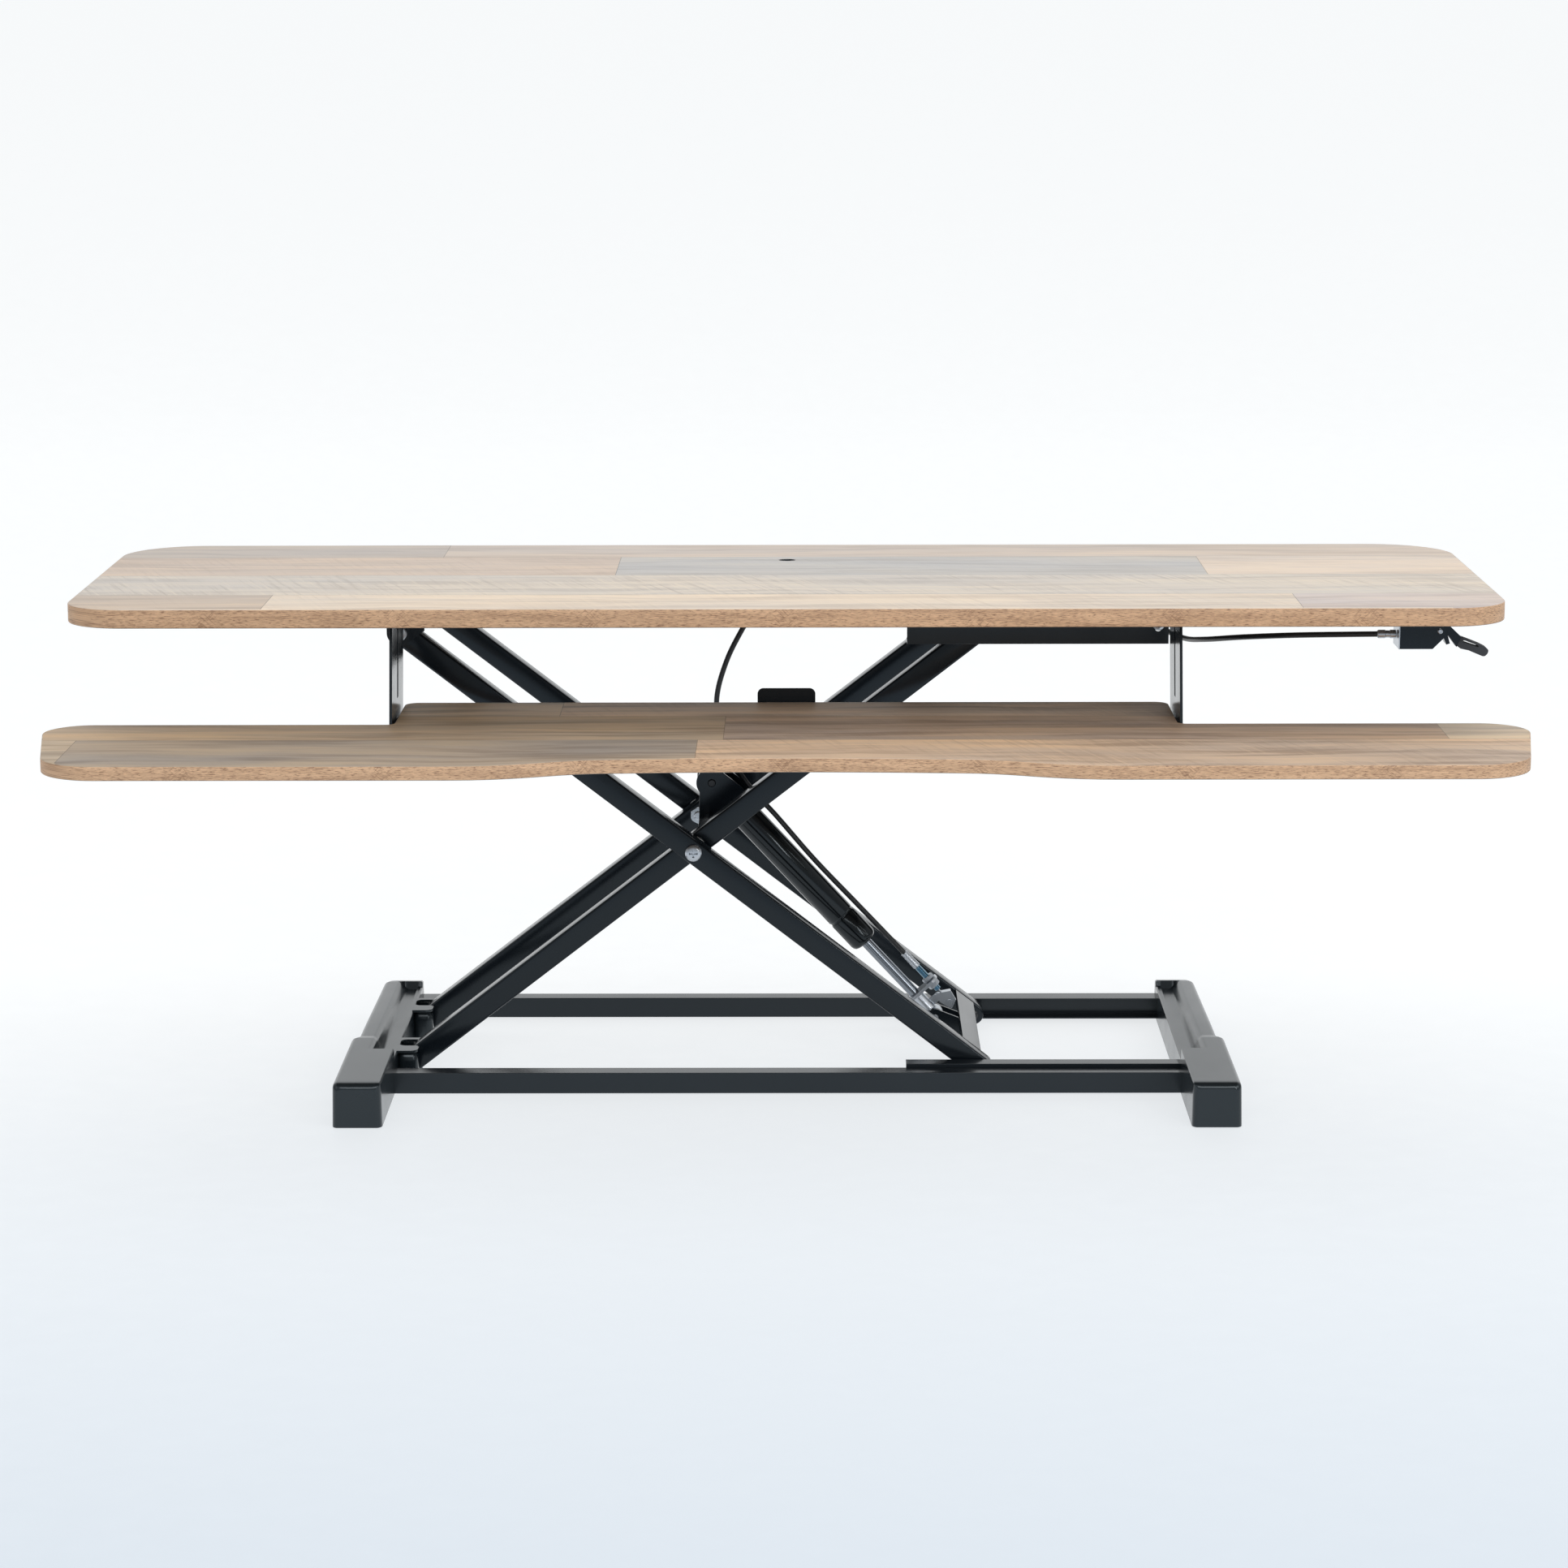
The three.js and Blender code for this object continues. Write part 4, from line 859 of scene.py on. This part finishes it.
def make_adjuster():
    """Crimped sleeve, threaded barrel and two lock nuts, with the bare wire below them."""
    offset = adjuster_offset
    bm = bmesh.new()
    crimp = [(-62, 2.6), (-61.4, 3.4)]
    crimp += [(-58 + 1.6 * i, 3.5 if i % 2 else 3.15) for i in range(6)]
    crimp += [(-48, 3.5), (-44.5, 3.5), (-44, 3.0), (-43, 2.3)]
    turn_on(bm, on_spring(0, offset), spring_axis, crimp, 24)
    piece("cable_adjuster_sleeve", bm, zinc, "spring_rod")
    bm = bmesh.new()
    pitch = 0.8
    turns = 35
    thread = [(-43.4, 2.2)]
    for i in range(turns):
        thread += [(-43.2 + pitch * i, 2.55), (-43.2 + pitch * (i + 0.5), 2.95)]
    thread += [(-15.2, 2.3), (-15, 1.6)]
    turn_on(bm, on_spring(0, offset), spring_axis, thread, 20)
    piece("cable_adjuster_barrel", bm, blue_zinc, "spring_rod", ["cable_adjuster"], smooth=25)
    bm = bmesh.new()
    flat = 5.0  # from a nut's middle to a flat
    for start in (-31.5, -23.7):
        turn_on(bm, on_spring(start, offset), spring_axis, [
            (0, 4.9, 6, flat), (0.7, 5.75, 6, flat), (3.5, 5.75, 6, flat), (4.2, 4.9, 6, flat),
        ], 48)
    piece("cable_adjuster_nuts", bm, zinc, "spring_rod", smooth=30)
    bm = bmesh.new()
    wire = [on_spring(-16, offset, 0.4), on_spring(-11, offset, 0.8), on_spring(-6.6, 19.6, 1.2)]
    sweep_on(bm, smooth_route(wire, 6), 0.8, 12)
    nipple = [(-2.2, 1.3), (-1.6, 1.9), (2.6, 1.9), (3.2, 1.3)]
    turn_on(bm, on_spring(-7.4, 20, 0.8), (0, 1, 0), nipple, 20)
    piece("release_inner_wire", bm, zinc, "spring_rod")


make_release_head()
make_adjuster()


# ---------------------------------------------------------------- cable

CABLE_RADIUS = 2.4
under_board_route = [
    (498, -105, 427), (466, -102, 426.2), (430, -86, 423.2), (390, -40, 414.5), (362, 15, 404),
    (349, 60, 398), (335, 95, 400), (316, 125, 409), (285, 145, 422), (245, 152, 429.5),
    (190, 152, 430.5), (120, 152, 430.5), (50, 152, 430.5),
]
loop_route = [
    (-9, 152, 429.5), (-24, 152, 420), (-38, 152, 397), (-55, 152, 363), (-64, 152, 326),
    (-57, 152, 288), (-38, 152, 253), (-10, 152, 221), (24, 152, 181), (63, 152, 139.5),
]
cable_split = Vector((0, middle_y, 430.5))


def make_cable():
    """The run under the board with its ferrule, and the loop down to the spring's cable adjuster."""
    bm = bmesh.new()
    run = [*under_board_route, cable_split + Vector((0.6, 0, 0))]
    sweep_on(bm, smooth_route(run, 8), CABLE_RADIUS)
    piece("cable_run_sleeve", bm, sleeve, "top", ["cable_run"])
    turned("cable_run_ferrule", (495, -105, 427), (1, 0, 0), [
        (0, 2.6), (0.6, 3.3), (1.4, 3.6), (6.5, 3.6), (7, 3.1),
        (10.5, 3.1), (11, 3.6), (15.4, 3.6), (15.6, 3.2),
    ], zinc, "top", sides_round=24)
    bm = bmesh.new()
    cable_end = on_spring(-62.3, adjuster_offset)
    route = [cable_split, *loop_route, on_spring(-74, adjuster_offset), cable_end]
    sweep_on(bm, smooth_route(route, 10), CABLE_RADIUS)
    loop = piece("cable_loop_sleeve", bm, sleeve, None, ["cable_loop"])
    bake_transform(loop)


make_cable()


# ---------------------------------------------------------------- handle

def evenly(outline, count):
    """The same number of points at even distances round a closed outline."""
    points = [Vector(p) for p in outline]
    lengths = [(b - a).length for a, b in zip(points, points[1:] + points[:1])]
    total = sum(lengths)
    spread = []
    edge, passed = 0, 0.0
    for i in range(count):
        wanted = total * i / count
        while passed + lengths[edge] < wanted:
            passed += lengths[edge]
            edge += 1
        share = (wanted - passed) / lengths[edge]
        spread.append(points[edge].lerp(points[(edge + 1) % len(points)], share))
    return spread


def make_handle():
    """The rubber grip with its slot, the lever pin's head and a thin zinc plate over the housing's left
    face.
    """
    pin = pivot["handle_squeeze"]
    low, high = corners("handle_grip")
    outer = [
        (14.9, -13.2), (14.4, -11.1), (15.9, -7.8), (19.2, -6.3), (26.5, -9.0),
        (34.6, -12.2), (40, -15), (41.5, -16.8), (41.2, -19.2), (39.4, -21.5),
        (37.3, -22.2), (32.8, -20.4), (24.9, -17), (18.3, -15.6),
    ]
    slot = [
        (19.8, -9.9), (19.8, -9), (20.7, -8.4), (26.2, -10.4), (32.8, -12.9), (33.4, -14), (32.5, -14.3),
        (24.3, -11.6),
    ]
    bm = bmesh.new()
    slotted_plate_on(
        bm, evenly(outer, 48), evenly(slot, 48), low.y, high.y,
        lambda x, z, y: (pin.x + x, y, pin.z + z),
    )
    grip = piece("handle_grip_sleeve", bm, rubber, "handle", ["handle_grip"], 50)
    soften(grip, 0.8, 3, 50)

    # A thin pale zinc plate laid over the housing's left face makes that face light grey.
    low, high = corners("handle_housing")
    bm = bmesh.new()
    left, right = low.y + 0.6, high.y - 0.6
    bottom, top = low.z + 0.6, high.z - 0.4
    end_plate = [(left, bottom), (right, bottom), (right, top), (left, top)]
    plate_on(bm, end_plate, low.x - 0.95, low.x - 0.1, lambda y, z, x: (x, y, z))
    soften(piece("handle_housing_end", bm, zinc, "top"), 0.2, 2)
    cheek_front = low.y + 6
    turned("handle_pin_head", (pin.x, cheek_front - 0.05, pin.z), (0, -1, 0), [
        (0, 1.7), (0.3, 2.1), (0.9, 2.1), (1.4, 1.6), (1.4, 0.9), (1.0, 0.8),
    ], zinc, "top", sides_round=24)


make_handle()


# ---------------------------------------------------------------- CAD nodes that keep their shape

for name in nodes:
    if nodes[name].hide_render:
        continue
    if name.startswith(("base_rail", "top_rail", "top_side_rail", "base_side_bar")):
        refine(name, frame_steel, 0.9, 3)
    elif name.startswith(("base_guide", "top_guide")):
        refine(name, frame_steel, 0.45, 2)
    elif name.startswith("tray_hanger"):
        refine(name, frame_steel, 0.5, 2)
    elif name.startswith("rubber_pad"):
        refine(name, rubber, 0.6, 2)
    elif name == "spring_upper_pin":
        refine(name, dark_bolt, 0.35, 2)
    elif name.startswith(("release_lever", "spring_lower_pin")):
        refine(name, zinc, 0.35, 2)
    else:
        refine(name, steel, 0.5, 2)


# ---------------------------------------------------------------- floor, light and camera

def make_stage():
    """A pale floor that curves up into a wall far behind. It glows as painted light, white far back and
    pale blue-grey near the front, which fades the shadows cast on it.
    """
    material, tree = new_material("studio_floor")
    place = add(tree, "TexCoord").outputs["Object"]
    depth = add(tree, "SeparateXYZ", {0: place}).outputs["Y"]
    far = remap(tree, depth, -1.6, 0.5, 0.0, 1.0)
    glow = mixed(tree, far, linear(205, 216, 227), linear(252, 254, 255))
    matte = mixed(tree, 1.0, glow, (0.25, 0.25, 0.25, 1), "MULTIPLY")
    grain = noise(tree, stretched(tree, (30, 30, 30)), 3.0)
    gloss = remap(tree, grain, 0.3, 0.7, 0.6, 0.75)
    finish_surface(
        tree, matte, gloss, grain, 0.02, emission=glow, Emission_Strength=0.79, Specular_IOR_Level=0.15,
    )
    bm = bmesh.new()
    depth_points = [(-6, 0), (5, 0), *arc((5, 3), 3, -80, 0, 8), (8, 9)]
    rows = [[bm.verts.new((x, y, z)) for y, z in depth_points] for x in (-12, 12)]
    for i in range(len(depth_points) - 1):
        bm.faces.new((rows[0][i], rows[1][i], rows[1][i + 1], rows[0][i + 1]))
    mesh = bpy.data.meshes.new("studio_sweep")
    bm.to_mesh(mesh)
    bm.free()
    mesh.shade_smooth()
    mesh.materials.append(material)
    sweep = bpy.data.objects.new("studio_sweep", mesh)
    sweep.location.z = -0.0005
    bpy.context.scene.collection.objects.link(sweep)


def make_light(name, place, target, size, power, colour=(1, 1, 1)):
    data = bpy.data.lights.new(name, "AREA")
    data.shape = "RECTANGLE"
    data.size, data.size_y = size
    data.energy = power
    data.color = colour
    made = bpy.data.objects.new(name, data)
    made.location = place
    made.rotation_euler = (Vector(target) - Vector(place)).to_track_quat("-Z", "Y").to_euler()
    bpy.context.scene.collection.objects.link(made)


def make_world():
    world = bpy.data.worlds.new("studio")
    world.use_nodes = True
    tree = world.node_tree
    tree.nodes.clear()
    place = add(tree, "TexCoord").outputs["Generated"]
    height = add(tree, "SeparateXYZ", {0: place}).outputs["Z"]
    colour = mixed(tree, remap(tree, height, -0.1, 0.8, 0.0, 1.0), (0.60, 0.62, 0.64, 1), (1, 1, 1, 1))
    sky = add(tree, "Background", {"Color": colour, "Strength": 0.55})
    output = add(tree, "OutputWorld")
    tree.links.new(sky.outputs[0], output.inputs["Surface"])
    bpy.context.scene.world = world


def make_camera():
    """The view the picture was taken from, found by matching the CAD to it."""
    data = bpy.data.cameras.new("camera")
    data.sensor_width = 36
    data.lens = 95.89
    made = bpy.data.objects.new("camera", data)
    yaw, pitch, roll = (math.radians(a) for a in (0.367, 10.835, 0.146))
    look = Matrix.Rotation(yaw, 3, "Z") @ Euler((math.radians(90) - pitch, 0, 0)).to_matrix()
    made.rotation_euler = (look @ Matrix.Rotation(-roll, 3, "Z")).to_euler()
    made.location = (0.0205, -3.5646, 0.9620)
    bpy.context.scene.collection.objects.link(made)
    bpy.context.scene.camera = made


make_stage()
make_world()
make_light("overhead", (0.0, 0.1, 3.2), (0, 0, 0.2), (3.6, 3.0), 26)
make_light("front", (0.3, -3.6, 2.5), (0, 0, 0.3), (3.4, 1.4), 50)
make_light("key", (2.9, -2.0, 1.9), (0, 0, 0.3), (1.6, 1.6), 15)
make_light("strip", (1.65, -2.45, 1.07), (0.05, 0.14, 0.17), (0.25, 1.2), 8)
make_light("fill", (-2.8, -1.8, 1.6), (0, 0, 0.3), (1.6, 1.6), 4)
make_camera()
bpy.context.scene.view_settings.view_transform = "Standard"
